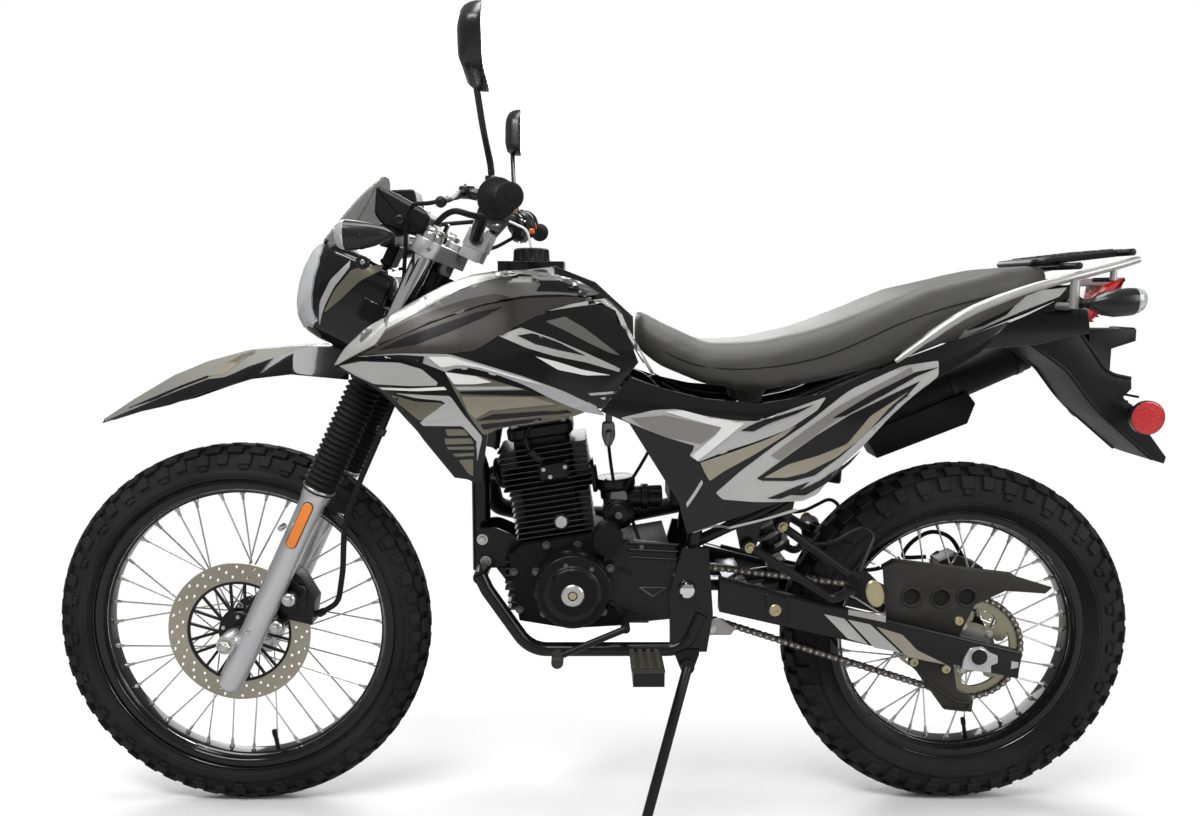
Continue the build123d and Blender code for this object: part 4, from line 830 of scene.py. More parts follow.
FRONT_HOLES = ((0.18, 24, 0), (0.45, 24, 0.35), (0.74, 24, 0.7))
REAR_HOLES = ((0.22, 20, 0), (0.5, 20, 0.4), (0.78, 20, 0.8))
brake_disc("front_rotor", "front_disc", FRONT, 129.5, 34, 47, 38, 10, FRONT_HOLES, "front_wheel")
brake_disc("rear_rotor", "rear_disc", REAR, 109.5, 34, -62, 42, 6, REAR_HOLES, "rear_wheel")


def kidney(r0, r1, a0, a1, steps=9, end=4):
    """A slot bent round the axle, round at a1 and hollowed at a0."""
    mid, w = (r0 + r1) / 2, (r1 - r0) / 2
    pts = []
    for r, first, last, start, sense in ((r1, a0, a1, a1, 1), (r0, a1, a0, a0 - pi, -1)):
        for k in range(steps + 1):
            a = first + (last - first) * k / steps
            pts.append((r * cos(a), r * sin(a)))
        for k in range(1, end):
            t = start + sense * pi * k / end
            pts.append((mid * cos(last) + w * cos(t), mid * sin(last) + w * sin(t)))
    return pts


CHAIN_Y = 84
SPROCKET_F = Vector((-88, CHAIN_Y, 455))
SPROCKET_R = Vector((REAR.x, CHAIN_Y, REAR.z))
TOOTH_COUNT = 48
REACH = SPROCKET_F - SPROCKET_R
R_REAR, R_FRONT = 93.0, 36.0  # pitch radii
BEARING = math.atan2(REACH.z, REACH.x)
WRAP = math.acos((R_REAR - R_FRONT) / REACH.length)
PITCH = 2 * pi * R_REAR / TOOTH_COUNT
# rollers sit in the rear sprocket's gaps, at whole pitches from the start of its wrap
ON_REAR = R_REAR * 2 * (pi - WRAP)
SEATED = int(ON_REAR / PITCH)
FIRST = (ON_REAR - SEATED * PITCH) / 2

# one tooth: turn in pitches, radius
TOOTH = ((-0.42, 87.2), (-0.30, 88.6), (-0.1, 94.0), (0.1, 94.0), (0.30, 88.6), (0.42, 87.2))
teeth = []
for k in range(TOOTH_COUNT):
    for shift, r in TOOTH:
        a = BEARING + WRAP + (FIRST + PITCH / 2) / R_REAR + 2 * pi * (k + shift) / TOOTH_COUNT
        teeth.append((r * cos(a), r * sin(a)))
slots = [kidney(46, 74, 2 * pi * k / 5 + 0.18, 2 * pi * (k + 1) / 5 - 0.34) for k in range(5)]
plate("driven_sprocket", [teeth, disc_loop(0, 0, 18, 40)] + slots, around(REAR), 81.6, 86.4, "olive_steel",
      "rear_wheel", edge=0.6, replaces=["rear_sprocket"])
s = Shape()
s.lathe(REAR, Y, [(41, 18), (41, 35.5), (43, 36), (79, 36), (81.4, 34), (81.4, 18)], 48, closed=True)
s.lathe(REAR, Y, [(86.5, 18.5), (86.5, 40), (87.8, 39), (88.2, 18.5)], 48, closed=True)
s.tag = 1
for k in range(5):
    a = 2 * pi * (k - 0.02) / 5
    s.bolt(REAR + Vector((cos(a) * 42, 86.5, sin(a) * 42)), Y, 5.5, 4.5)
s.make("sprocket_carrier", ["cast_alloy", "zinc"], "rear_wheel")


def chain_path():
    """Roller centres round both sprockets."""
    run = sqrt(REACH.length ** 2 - (R_REAR - R_FRONT) ** 2)
    on_front = R_FRONT * 2 * WRAP
    total = ON_REAR + on_front + 2 * run
    rest = total - SEATED * PITCH
    links = int(round(rest / PITCH))
    links += (links + SEATED) % 2
    places = [FIRST + i * PITCH for i in range(SEATED)]
    places += [FIRST + SEATED * PITCH + rest * i / links for i in range(links)]
    out = []
    for gone in places:
        gone %= total
        if gone < ON_REAR:
            c, r, a, along = SPROCKET_R, R_REAR, BEARING + WRAP + gone / R_REAR, 0
        elif gone < ON_REAR + run:
            c, r, a, along = SPROCKET_R, R_REAR, BEARING - WRAP, gone - ON_REAR
        elif gone < ON_REAR + run + on_front:
            c, r, a, along = SPROCKET_F, R_FRONT, BEARING - WRAP + (gone - ON_REAR - run) / R_FRONT, 0
        else:
            c, r, a, along = SPROCKET_F, R_FRONT, BEARING + WRAP, gone - ON_REAR - run - on_front
        n = Vector((cos(a), 0, sin(a)))
        out.append(c + n * r + Vector((-n.z, 0, n.x)) * along)
    return out


s = Shape()
rollers = chain_path()
for i, p in enumerate(rollers):
    q = rollers[(i + 1) % len(rollers)]
    run = (q - p).normalized()
    up = Vector((-run.z, 0, run.x))
    length = (q - p).length
    outline = []
    for cx, a0 in ((0, pi / 2 + 0.35), (length, -pi / 2 + 0.35)):
        for k in range(5):
            a = a0 + (pi - 0.7) * k / 4
            outline.append((cx + 5.4 * cos(a), 5.4 * sin(a)))
        outline.append((length / 2, -3.9 if cx == 0 else 3.9))
    near, far = (3.6, 4.9) if i % 2 else (5.2, 6.5)
    s.tag = i % 2
    for sign in (1, -1):
        rings = [[p + run * a + up * b + Y * sign * y for a, b in outline] for y in (near, far)]
        s.loft(rings)
    s.tag = 2
    s.cyl(p - Y * 6.9, p + Y * 6.9, 2.1, seg=8)
    s.cyl(p - Y * 3.5, p + Y * 3.5, 3.9, seg=8)
s.make("roller_chain", ["chain_steel", "satin_black", "zinc"], "chassis", replaces=["drive_chain"], angle=30)


# ================= tools for bodywork =================
RIDES = {n: "steering" for n in (
    "triple_clamps", "fork_legs", "fork_gaiters", "front_fender", "headlight_cowl", "headlight_lens",
    "windscreen", "instruments", "front_signals", "handlebar", "grips", "hand_controls", "mirrors",
    "front_caliper", "hose_and_cable")}
RIDES["side_stand"] = "stand"


def rounded(name, node, width, segments, finish, angle=25, smooth=40):
    """A new piece in a CAD node's place, with its edges eased."""
    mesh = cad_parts[node].data.copy()
    mesh.materials.clear()
    mesh.materials.append(MATS[finish])
    bm = bmesh.new()
    bm.from_mesh(mesh)
    bmesh.ops.remove_doubles(bm, verts=bm.verts, dist=2e-5)
    bmesh.ops.dissolve_limit(bm, angle_limit=radians(1), verts=bm.verts, edges=bm.edges)
    for f in bm.faces:
        f.material_index = 0
    bm.to_mesh(mesh)
    bm.free()
    obj = add_object(name, mesh)
    add_modifier(obj, "BEVEL", width=width / 1000, segments=segments, limit_method="ANGLE",
                 angle_limit=radians(angle), use_clamp_overlap=True)
    apply_all(obj)
    shade_smooth(obj, smooth)
    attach(obj, RIDES.get(node, "chassis"))
    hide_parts(node)
    return obj


def tree_of(objects):
    """Search tree over objects' faces, in the upright frame."""
    verts, faces = [], []
    for obj in objects:
        start = len(verts)
        verts += [UPRIGHT @ v.co for v in obj.data.vertices]
        faces += [[i + start for i in p.vertices] for p in obj.data.polygons]
    return BVHTree.FromPolygons(verts, faces)


class Flat:
    """A plane at one distance across the machine, used as a Surface is."""

    def __init__(self, y):
        self.y = y

    def __call__(self, x, z):
        return self.y

    def hit(self, x, z):
        return self.y

    def lean(self, x, z):
        return Y


class Surface:
    """How far across the machine the outermost face of some objects lies, at a side-view point."""

    def __init__(self, objects, blur=0.0):
        self.tree = tree_of(objects)
        self.blur = blur
        self.memory = {}

    def hit(self, x, z):
        found = self.tree.ray_cast(Vector((x, 450, z)), -Y)[0]
        if found is not None and found.y > 5:
            return found.y
        return abs(self.tree.find_nearest(Vector((x, 110, z)))[0].y)

    def __call__(self, x, z):
        """The distance, averaged around the point so that small steps are smoothed over."""
        key = (round(x, 1), round(z, 1))
        if key not in self.memory:
            spots = [(0, 0)] + [(self.blur * k * cos(a), self.blur * k * sin(a)) for k in (0.5, 1.0)
                                for a in (0, 1.05, 2.09, 3.14, 4.19, 5.24)]
            mean = sum(self.hit(x + a, z + b) for a, b in spots) / len(spots)
            self.memory[key] = max(mean, self.hit(x, z) - 0.5)
        return self.memory[key]

    def lean(self, x, z):
        """Outward direction of the surface in the upright frame."""
        reach = 9.0
        slope_x = (self(x + reach, z) - self(x - reach, z)) / (2 * reach)
        slope_z = (self(x, z + reach) - self(x, z - reach)) / (2 * reach)
        return Vector((-slope_x, 1, -slope_z)).normalized()


def soften(obj, surf, sign):
    """Shade a skin's outer face by the smooth surface under it, so that small facets don't glint."""
    mesh = obj.data
    turn = PARKED.to_3x3()
    out = (turn @ Vector((0, sign, 0))).normalized()
    known, normals = {}, []
    for poly in mesh.polygons:
        outer = poly.normal.dot(out) > 0.3
        for i in poly.loop_indices:
            if not outer:
                normals.append(mesh.corner_normals[i].vector.copy())
                continue
            v = mesh.loops[i].vertex_index
            if v not in known:
                at = UPRIGHT @ mesh.vertices[v].co
                n = surf.lean(at.x, at.z)
                known[v] = (turn @ Vector((n.x, sign * n.y, n.z))).normalized()
            normals.append(known[v])
    mesh.normals_split_custom_set(normals)


def skin(name, outline, surf, lift, finish, body, step=14.0, thick=0.7, rim=0.0, share=0.3, calm=2):
    """A panel or stripe cut to a side-view outline and laid on a surface, on both sides."""
    pts = smooth_outline(outline, 4, share)
    for side, sign in SIDES:
        bm = bmesh.new()
        face = bm.faces.new([bm.verts.new((x, 0, z)) for x, z in pts])
        bmesh.ops.triangulate(bm, faces=[face], ngon_method="EAR_CLIP")
        bmesh.ops.dissolve_limit(bm, angle_limit=0.01, verts=bm.verts, edges=bm.edges)
        xs, zs = [p[0] for p in pts], [p[1] for p in pts]
        for axis, low, high in ((0, min(xs), max(xs)), (2, min(zs), max(zs))):
            k = math.floor(low / step) + 1
            while k * step < high:
                point, normal = [0, 0, 0], [0, 0, 0]
                point[axis], normal[axis] = k * step, 1
                bmesh.ops.bisect_plane(bm, geom=bm.verts[:] + bm.edges[:] + bm.faces[:], plane_co=point,
                                       plane_no=normal, dist=0.05)
                k += 1
        for v in bm.verts:
            v.co.y = surf(v.co.x, v.co.z)
        for _ in range(calm):
            level = {v: sum(e.other_vert(v).co.y for e in v.link_edges) / len(v.link_edges) for v in bm.verts}
            for v, y in level.items():
                v.co.y = 0.5 * (v.co.y + y)
        for v in bm.verts:
            x, y, z = v.co
            y = max(y, surf.hit(x, z) - 0.3) + lift / max(surf.lean(x, z).y, 0.45)
            v.co = PARKED @ Vector((x, sign * y, z))
        bmesh.ops.recalc_face_normals(bm, faces=bm.faces)
        out = PARKED.to_3x3() @ Vector((0, sign, 0))
        if sum((f.normal.dot(out) * f.calc_area() for f in bm.faces)) < 0:
            bmesh.ops.reverse_faces(bm, faces=bm.faces)
        label = name + "_" + side
        mesh = bpy.data.meshes.new(label)
        bm.to_mesh(mesh)
        bm.free()
        mesh.materials.append(MATS[finish])
        obj = add_object(label, mesh)
        add_wall(obj, thick)
        if rim:
            add_modifier(obj, "BEVEL", width=rim / 1000, segments=2, limit_method="ANGLE",
                         angle_limit=radians(55))
        apply_all(obj)
        shade_smooth(obj, 42)
        soften(obj, surf, sign)
        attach(obj, body)




# ================= outlines of panels and stripes =================
# name, finish, height over the surface, side-view corners
SHROUD_PANELS = (
    ("wing", "graphic_grey", 3.2, [
        (450, 845), (430, 875), (395, 908), (353, 931), (311, 955), (266, 980), (221, 996), (169, 1004),
        (131, 1005), (83, 998), (39, 985), (4, 965), (39, 962), (83, 964), (135, 962), (187, 952), (239, 936),
        (291, 917), (343, 894), (378, 879), (413, 861), (443, 847)]),
    ("under", "graphic_olive_dark", 1.6, [
        (404, 864), (372, 878), (337, 895), (274, 920), (205, 944), (135, 957), (66, 960), (18, 959),
        (49, 950), (101, 935), (164, 903), (213, 872), (254, 867), (296, 866), (345, 866)]),
    ("low", "graphic_black", 2.4, [
        (451, 842), (412, 855), (361, 855), (316, 849), (288, 835), (268, 814), (244, 786), (220, 758),
        (199, 727), (205, 708), (212, 646), (232, 658), (277, 707), (325, 756), (369, 802), (410, 826)]),
    ("right", "graphic_olive", 2.0, [
        (263, 838), (205, 830), (150, 813), (84, 792), (30, 767), (56, 758), (108, 750), (171, 743),
        (200, 731), (220, 760), (242, 798)]),
    ("arm", "paint_silver", 3.6, [
        (410, 861), (377, 864), (336, 867), (291, 867), (253, 866), (205, 851), (136, 830), (66, 803),
        (17, 778), (-2, 759), (31, 766), (84, 789), (136, 817), (184, 835), (222, 844), (239, 844),
        (253, 841), (260, 837), (277, 844), (308, 856), (353, 861)]),
)
SHROUD_STRIPES = (
    ("wing_tip", "graphic_silver", 3.8, [
        (449, 846), (430, 874), (395, 907), (365, 924), (360, 906), (376, 882), (413, 863), (442, 847)]),
    # silver of the decal, brightened into a painted highlight along the wing's upper ridge
    ("wing_ridge_highlight", "graphic_silver", 3.8, [
        (354, 928), (312, 952), (267, 977), (222, 993), (170, 1001), (132, 1002), (149, 996), (194, 987),
        (239, 972), (277, 951), (323, 926), (360, 906)]),
    ("wing_dark", "graphic_black", 3.8, [
        (125, 996), (85, 990), (46, 977), (21, 967), (42, 966), (84, 969), (115, 969), (104, 984)]),
    ("wing_lower", "graphic_shade", 3.8, [
        (376, 880), (343, 897), (291, 919), (239, 938), (187, 954), (156, 959), (183, 965), (232, 954),
        (273, 941), (322, 922), (359, 903)]),
    ("under_sheen", "graphic_black", 2.2, [
        (372, 872), (330, 892), (274, 913), (212, 934), (167, 944), (205, 924), (254, 903), (310, 882)]),
    ("arm_dark", "graphic_black", 4.2, [
        (394, 862), (336, 865), (294, 863), (298, 849), (322, 856), (360, 861)]),
    ("arm_shine", "graphic_white", 4.2, [
        (289, 862), (253, 862), (205, 848), (136, 827), (94, 812), (143, 825), (205, 844), (239, 849),
        (267, 844)]),
    ("low_silver", "graphic_silver", 3.0, [
        (439, 845), (402, 853), (336, 852), (299, 842), (273, 820), (275, 815), (323, 814), (379, 816),
        (410, 829)]),
    ("low_line", "graphic_white", 3.0, [
        (372, 811), (323, 810), (263, 813), (258, 808), (310, 806), (365, 807)]),
    ("low_olive", "graphic_olive", 3.0, [
        (355, 800), (310, 789), (267, 787), (251, 767), (304, 758), (324, 774)]),
    ("low_arrow", "graphic_silver", 3.4, [
        (344, 802), (253, 798), (230, 765), (202, 729), (212, 686), (211, 721), (234, 748), (297, 749),
        (303, 755), (246, 762), (263, 790), (310, 795)]),
    ("low_hatch1", "graphic_olive", 3.0, [
        (262, 743), (231, 742), (224, 732), (259, 732)]),
    ("low_hatch2", "graphic_olive", 3.0, [
        (264, 727), (221, 727), (216, 718), (262, 717)]),
    ("low_hatch3", "graphic_olive", 3.0, [
        (261, 713), (216, 713), (216, 708), (258, 708)]),
    ("low_hatch4", "graphic_olive", 3.0, [
        (252, 701), (216, 702), (217, 697), (247, 696)]),
    ("low_hatch5", "graphic_olive", 3.0, [
        (242, 690), (218, 691), (219, 661), (228, 668)]),
    ("right_tri", "graphic_white", 2.7, [
        (262, 837), (212, 830), (185, 820), (213, 817), (247, 817)]),
    ("right_line1", "graphic_silver", 2.7, [
        (246, 813), (153, 813), (133, 808), (240, 807)]),
    ("right_line2", "graphic_black", 2.7, [
        (239, 805), (129, 806), (91, 795), (122, 797), (235, 801)]),
    ("right_warm", "graphic_champagne", 2.7, [
        (235, 797), (119, 795), (80, 782), (136, 778), (189, 774), (213, 760), (224, 771)]),
    ("right_low1", "graphic_black", 2.7, [
        (205, 750), (119, 757), (56, 761), (108, 753), (171, 746), (200, 741)]),
    ("right_low2", "graphic_black", 2.7, [
        (213, 756), (185, 767), (101, 771), (35, 767), (101, 764), (185, 758)]),
)
TANK_STRIPES = (
    ("tank_stripe_a", "graphic_silver", 1.0, [
        (176, 896), (139, 909), (91, 893), (31, 867), (-27, 840), (-25, 834), (31, 851), (84, 862),
        (129, 876)]),
    ("tank_stripe_a_in", "graphic_black", 1.4, [
        (145, 896), (119, 900), (77, 885), (31, 862), (77, 872), (115, 882)]),
    ("tank_stripe_b", "graphic_grey", 1.0, [
        (99, 919), (66, 927), (32, 907), (-27, 862), (-10, 866), (32, 886), (66, 904)]),
    ("tank_stripe_c", "graphic_white", 1.0, [
        (115, 862), (80, 853), (38, 839), (-11, 829), (31, 829), (77, 839)]),
    # painted highlight: thin silver line along the upper edge of the tank's side
    ("tank_edge_highlight", "graphic_silver", 1.0, [
        (130, 931), (75, 944), (23, 954), (-4, 957), (-28, 938), (-40, 909), (-60, 874), (-86, 830),
        (-80, 830), (-52, 875), (-32, 909), (-20, 936), (4, 950), (75, 939)]),
    ("tank_stripe_l1", "graphic_silver", 1.0, [
        (27, 799), (-44, 803), (-100, 807), (-44, 799), (23, 795)]),
    ("tank_stripe_l2", "graphic_silver", 1.0, [
        (7, 791), (-56, 796), (-104, 797), (-52, 791), (3, 788)]),
    ("tank_stripe_l3", "graphic_grey", 1.0, [
        (-5, 783), (-60, 788), (-96, 788), (-56, 784), (-9, 780)]),
)
PANEL_SKINS = (
    ("pan_up", "graphic_silver", 2.2, [
        (-25, 757), (-85, 771), (-122, 773), (-177, 760), (-221, 754), (-258, 753), (-305, 770), (-375, 794),
        (-360, 772), (-310, 739), (-251, 717), (-200, 700), (-160, 683), (-144, 694), (-156, 710),
        (-104, 725), (-67, 739)]),
    ("pan_big", "graphic_silver", 2.6, [
        (-190, 630), (-231, 668), (-289, 713), (-343, 750), (-415, 806), (-506, 846), (-567, 855),
        (-567, 829), (-530, 799), (-484, 758), (-437, 705), (-394, 668), (-366, 626), (-340, 614),
        (-254, 615), (-202, 619)]),
)
PANEL_STRIPES = (
    ("pan_up_grey", "graphic_shade_light", 2.8, [
        (-45, 757), (-103, 762), (-199, 741), (-164, 714), (-104, 726), (-67, 740)]),
    ("pan_up_white", "graphic_white", 3.1, [
        (-101, 769), (-133, 771), (-177, 759), (-236, 750), (-200, 719), (-158, 685), (-148, 694),
        (-203, 741), (-148, 755)]),
    ("pan_up_warm", "graphic_champagne", 2.8, [
        (-163, 682), (-214, 700), (-273, 722), (-324, 746), (-306, 730), (-251, 695), (-200, 666),
        (-179, 651), (-170, 666)]),
    ("pan_up_black", "graphic_black", 3.1, [
        (-229, 737), (-258, 752), (-305, 766), (-353, 781), (-324, 766), (-280, 751), (-251, 736)]),
    ("pan_drop", "graphic_black", 3.2, [
        (-259, 656), (-301, 687), (-362, 731), (-417, 765), (-482, 796), (-536, 821), (-508, 791),
        (-455, 743), (-404, 695), (-357, 660), (-320, 651), (-268, 652)]),
    ("pan_warm", "graphic_champagne", 3.6, [
        (-270, 657), (-312, 680), (-364, 695), (-411, 714), (-450, 762), (-515, 803), (-483, 777),
        (-437, 725), (-393, 691), (-342, 665), (-309, 657)]),
    ("pan_grey", "graphic_shade_light", 3.2, [
        (-282, 695), (-326, 728), (-398, 780), (-470, 818), (-519, 843), (-523, 836), (-453, 791),
        (-384, 750), (-333, 713), (-297, 687)]),
    ("pan_black1", "graphic_black", 3.5, [
        (-384, 758), (-452, 799), (-528, 836), (-567, 844), (-521, 825), (-456, 788), (-406, 762)]),
    ("pan_stripe1", "graphic_black", 3.2, [
        (-317, 627), (-365, 650), (-412, 680), (-438, 702), (-420, 680), (-380, 646), (-344, 625)]),
    ("pan_stripe2", "graphic_black", 3.2, [
        (-277, 621), (-328, 642), (-350, 650), (-328, 631), (-299, 620)]),
    ("pan_lowedge", "graphic_silver", 0.9, [
        (-155, 555), (-218, 570), (-277, 585), (-329, 601), (-333, 597), (-277, 581), (-218, 566),
        (-157, 550)]),
    ("pan_front_line", "graphic_silver", 0.9, [
        (-140, 611), (-153, 631), (-166, 653), (-168, 646), (-157, 627), (-142, 604)]),
)
COWL_STRIPES = (
    ("cowl_silver", "graphic_silver", 0.9, [
        (497, 911), (492, 948), (470, 987), (434, 1020), (435, 1009), (463, 976), (485, 939), (496, 908)]),
    ("cowl_olive", "graphic_olive", 0.9, [
        (486, 929), (463, 970), (431, 1005), (377, 1014), (382, 1003), (418, 985), (450, 956)]),
)
FENDER_STRIPES = (
    ("fender_b", "graphic_champagne", 0.9, [
        (676, 837), (641, 856), (615, 864), (638, 847), (672, 820), (703, 817)]),
    ("fender_c", "graphic_black", 0.9, [
        (859, 756), (802, 779), (749, 801), (700, 819), (700, 815), (749, 797), (802, 774)]),
)
# where the front fender turns from black to silver, in side view
FENDER_EDGE = [(903, 732), (869, 746), (816, 767), (759, 790), (701, 812), (670, 816), (650, 824), (627, 835),
               (587, 849), (538, 865), (472, 883), (374, 904)]
TAIL_STRIPES = (
    ("tail_a", "graphic_silver", 0.9, [
        (-607, 880), (-632, 913), (-663, 933), (-702, 955), (-757, 974), (-799, 979), (-786, 963),
        (-727, 940), (-673, 915), (-625, 893)]),
    ("tail_b", "graphic_black", 1.3, [
        (-627, 903), (-644, 925), (-679, 940), (-713, 951), (-696, 931), (-657, 912)]),
    ("tail_c", "graphic_white", 1.3, [
        (-610, 883), (-657, 905), (-728, 933), (-782, 957), (-728, 929), (-657, 900)]),
)
ARM_STRIPES = (
    ("arm_d1", "graphic_silver", 0.7, [
        (-390, 405), (-426, 397), (-471, 349), (-434, 360)]),
    ("arm_d2", "graphic_silver", 0.7, [
        (-433, 395), (-473, 386), (-529, 334), (-482, 343)]),
    ("arm_d3", "graphic_champagne", 0.7, [
        (-484, 382), (-531, 367), (-559, 338), (-614, 311), (-542, 326)]),
    ("arm_silver", "rail_silver", 1.0, [
        (-433, 413), (-500, 402), (-500, 390), (-433, 404)]),
)


# ================= bodywork =================

tank = rounded("tank_shell", "fuel_tank", 16, 4, "gloss_black", angle=12, smooth=50)
shroud = rounded("shroud_shell", "tank_shrouds", 5, 3, "gloss_black", angle=10, smooth=45)
panels = rounded("side_panel_shell", "side_panels", 4, 3, "gloss_black", angle=12, smooth=45)
tail = rounded("tail_shell", "tail_fairing", 6, 3, "gloss_black", angle=12, smooth=45)
guard = rounded("front_guard_shell", "front_fender", 6, 3, "gloss_black", angle=9, smooth=50)

NOSE_POWER = 3.2  # how square the nose is in plan
NOSE_LEVELS = 28
# level along the steering axis, rear u, front u, half width
NOSE = [(553, 112, 166, 30), (560, 97, 181, 50), (575, 80, 197, 67), (600, 67, 209, 80), (630, 61, 216, 88),
        (660, 60, 219, 92), (690, 62, 218, 94), (712, 68, 211, 92), (722, 76, 200, 86)]


def at_level(table, w):
    """Row of a table at a level, eased between its rows."""
    for a, b in zip(table, table[1:]):
        if w <= b[0]:
            t = (w - a[0]) / (b[0] - a[0])
            return [p + (q - p) * t for p, q in zip(a[1:], b[1:])]
    return list(table[-1][1:])


def nose_u(y, w):
    """How far ahead of the steering axis the nose lies."""
    back, front, half = at_level(NOSE, w)
    return back + (front - back) * (1 - min(0.999, abs(y) / half) ** NOSE_POWER) ** (1 / NOSE_POWER)


def cowl_ring(level):
    """Half superellipse across the nose at one of its levels."""
    w = NOSE[0][0] + (NOSE[-1][0] - NOSE[0][0]) * level / NOSE_LEVELS
    back, front, half = at_level(NOSE, w)
    if level in (0, NOSE_LEVELS):
        back, front, half = back + 4, front - 5, half - 5
    ring = []
    for i in range(41):
        a = -pi / 2 + pi * i / 40
        c = max(0.0, cos(a)) ** (2 / NOSE_POWER)
        d = math.copysign(abs(sin(a)) ** (2 / NOSE_POWER), sin(a))
        ring.append(on_steer(back + (front - back) * c, half * d, w))
    return ring


def cowl_shell():
    """Lamp nose and the lugs that carry it."""
    s = Shape()
    s.loft([cowl_ring(level) for level in range(NOSE_LEVELS + 1)])
    for sign in (1, -1):
        s.steer_box((45.9, sign * 82, 626), (92, sign * 98, 664), 3)
    return s.make("cowl_shell", "gloss_black", "steering", replaces=["headlight_cowl"], angle=42)


def nose_patch(name, finish, out, thick, low, high, edge):
    """A shell that follows the lamp's nose between two levels."""
    row_count, column_count = 18, 26
    rows = []
    for i in range(row_count + 1):
        w = low + (high - low) * i / row_count
        side_y = at_level(edge, w)[0]
        ys = [side_y * sin(pi / 2 * (2 * j / column_count - 1)) for j in range(column_count + 1)]
        rows.append([on_steer(nose_u(y, w) + out, y * (1 + out / 90), w) for y in ys])
    s = Shape()
    s.grid(rows)
    return s.make(name, finish, "steering", angle=50, wall=thick)


cowl = cowl_shell()
LENS_EDGE = [(560, 30), (572, 58), (590, 70), (630, 75), (680, 76), (704, 70), (718, 52)]
nose_patch("lamp_reflector", "lamp_mirror", 0.7, 0.4, 563, 716, LENS_EDGE)
lens = nose_patch("headlight_glass", "lamp_lens", 3.4, 1.6, 560, 718, LENS_EDGE)
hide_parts("headlight_lens")

# level, centre u, half width
SCREEN = [(690, 223, 66), (724, 215, 80), (752, 208, 84), (782, 200, 81), (812, 191, 72), (838, 181, 58),
          (856, 172, 41), (866, 167, 20)]


def on_screen(y, w):
    """Point of the windscreen, which wraps back towards its sides."""
    wrap = (y / 80) ** 2
    return on_steer(at_level(SCREEN, w)[0] - 42 * wrap, y, w + 4 * wrap)


def screen_shell():
    s = Shape()
    levels = [690 + 176 * i / 22 for i in range(23)]
    s.grid([[on_screen(at_level(SCREEN, w)[1] * (j / 10 - 1), w) for j in range(21)] for w in levels])
    s.make("screen_shell", "smoked_screen", "steering", replaces=["windscreen"], angle=50, wall=3.0)


def two_tone(obj, edge, finish):
    """Paint an object's faces above a side-view line in a second finish, cutting the faces along the line."""
    bm = bmesh.new()
    bm.from_mesh(obj.data)
    turn = PARKED.to_3x3()
    for (x0, z0), (x1, z1) in zip(edge, edge[1:]):
        middle = (x0 + x1) / 2
        reach = abs(x1 - x0) / 2 + 12
        near = [f for f in bm.faces if any(abs((UPRIGHT @ v.co).x - middle) < reach for v in f.verts)]
        parts = set(near) | {e for f in near for e in f.edges} | {v for f in near for v in f.verts}
        bmesh.ops.bisect_plane(bm, geom=list(parts), plane_co=PARKED @ Vector((x0, 0, z0)),
                               plane_no=(turn @ Vector((z0 - z1, 0, x1 - x0))).normalized(), dist=2e-5)
    line = sorted(edge)
    for f in bm.faces:
        c = UPRIGHT @ f.calc_center_median()
        for (x0, z0), (x1, z1) in zip(line, line[1:]):
            if x0 <= c.x < x1 and c.z > z0 + (z1 - z0) * (c.x - x0) / (x1 - x0):
                f.material_index = 1
    obj.data.materials.append(MATS[finish])
    bm.to_mesh(obj.data)
    bm.free()


screen_shell()
two_tone(guard, FENDER_EDGE, "guard_silver")
fairing = Surface([tank, shroud], 14)
for name, finish, lift, outline in SHROUD_PANELS:
    skin(name + "_panel", outline, fairing, lift + 0.5, finish, "chassis", thick=3.0, rim=0.7, share=0.2,
         calm=3, step=9)
for name, finish, lift, outline in SHROUD_STRIPES:
    skin(name, outline, fairing, lift + 1.0, finish, "chassis", share=0.12, calm=3, step=7)


def wing_screws(x, z):
    """Screw with its cup on each wing of the shroud."""
    s = Shape()
    for sign in (1, -1):
        n = fairing.lean(x, z)
        p = Vector((x, sign * fairing(x, z), z))
        n.y *= sign
        s.tag = 0
        s.lathe(p + n * 3, n, [(0, 10.5), (1.6, 10.5), (2.4, 9.5), (2.6, 7), (1.4, 6.4)], 28)
        s.tag = 1
        s.lathe(p + n * 3, n, [(0.5, 6.2), (3.0, 6.2), (3.6, 5.2), (3.6, 2.6), (1.6, 2.6)], 20)
    s.make("wing_screws", ["satin_black", "zinc"], "chassis")


wing_screws(54, 976)
tank_side = Surface([tank, shroud], 8)
for name, finish, lift, outline in TANK_STRIPES:
    skin(name, outline, tank_side, lift, finish, "chassis", share=0.08)
panel_side = Surface([panels, tail], 14)
for name, finish, lift, outline in PANEL_SKINS:
    skin(name + "_panel", outline, panel_side, lift, finish, "chassis", thick=2.4, rim=0.7, share=0.2, step=9)
for name, finish, lift, outline in PANEL_STRIPES:
    skin(name, outline, panel_side, lift + 0.5, finish, "chassis", share=0.1, step=9)
for table, target, body in ((COWL_STRIPES, cowl, "steering"), (FENDER_STRIPES, guard, "steering"),
                            (TAIL_STRIPES, tail, "chassis")):
    look = Surface([target], 4)
    for name, finish, lift, outline in table:
        skin(name, outline, look, lift, finish, body, share=0.15)

# ================= seat =================
SEAM = [(-66, 892), (-110, 862), (-160, 842), (-230, 836), (-310, 845), (-380, 862), (-440, 888), (-500, 917),
        (-580, 944), (-660, 963), (-735, 982)]
LOWER_SEAM = [(-100, 812), (-165, 778), (-263, 771), (-366, 803), (-430, 832), (-506, 866)]


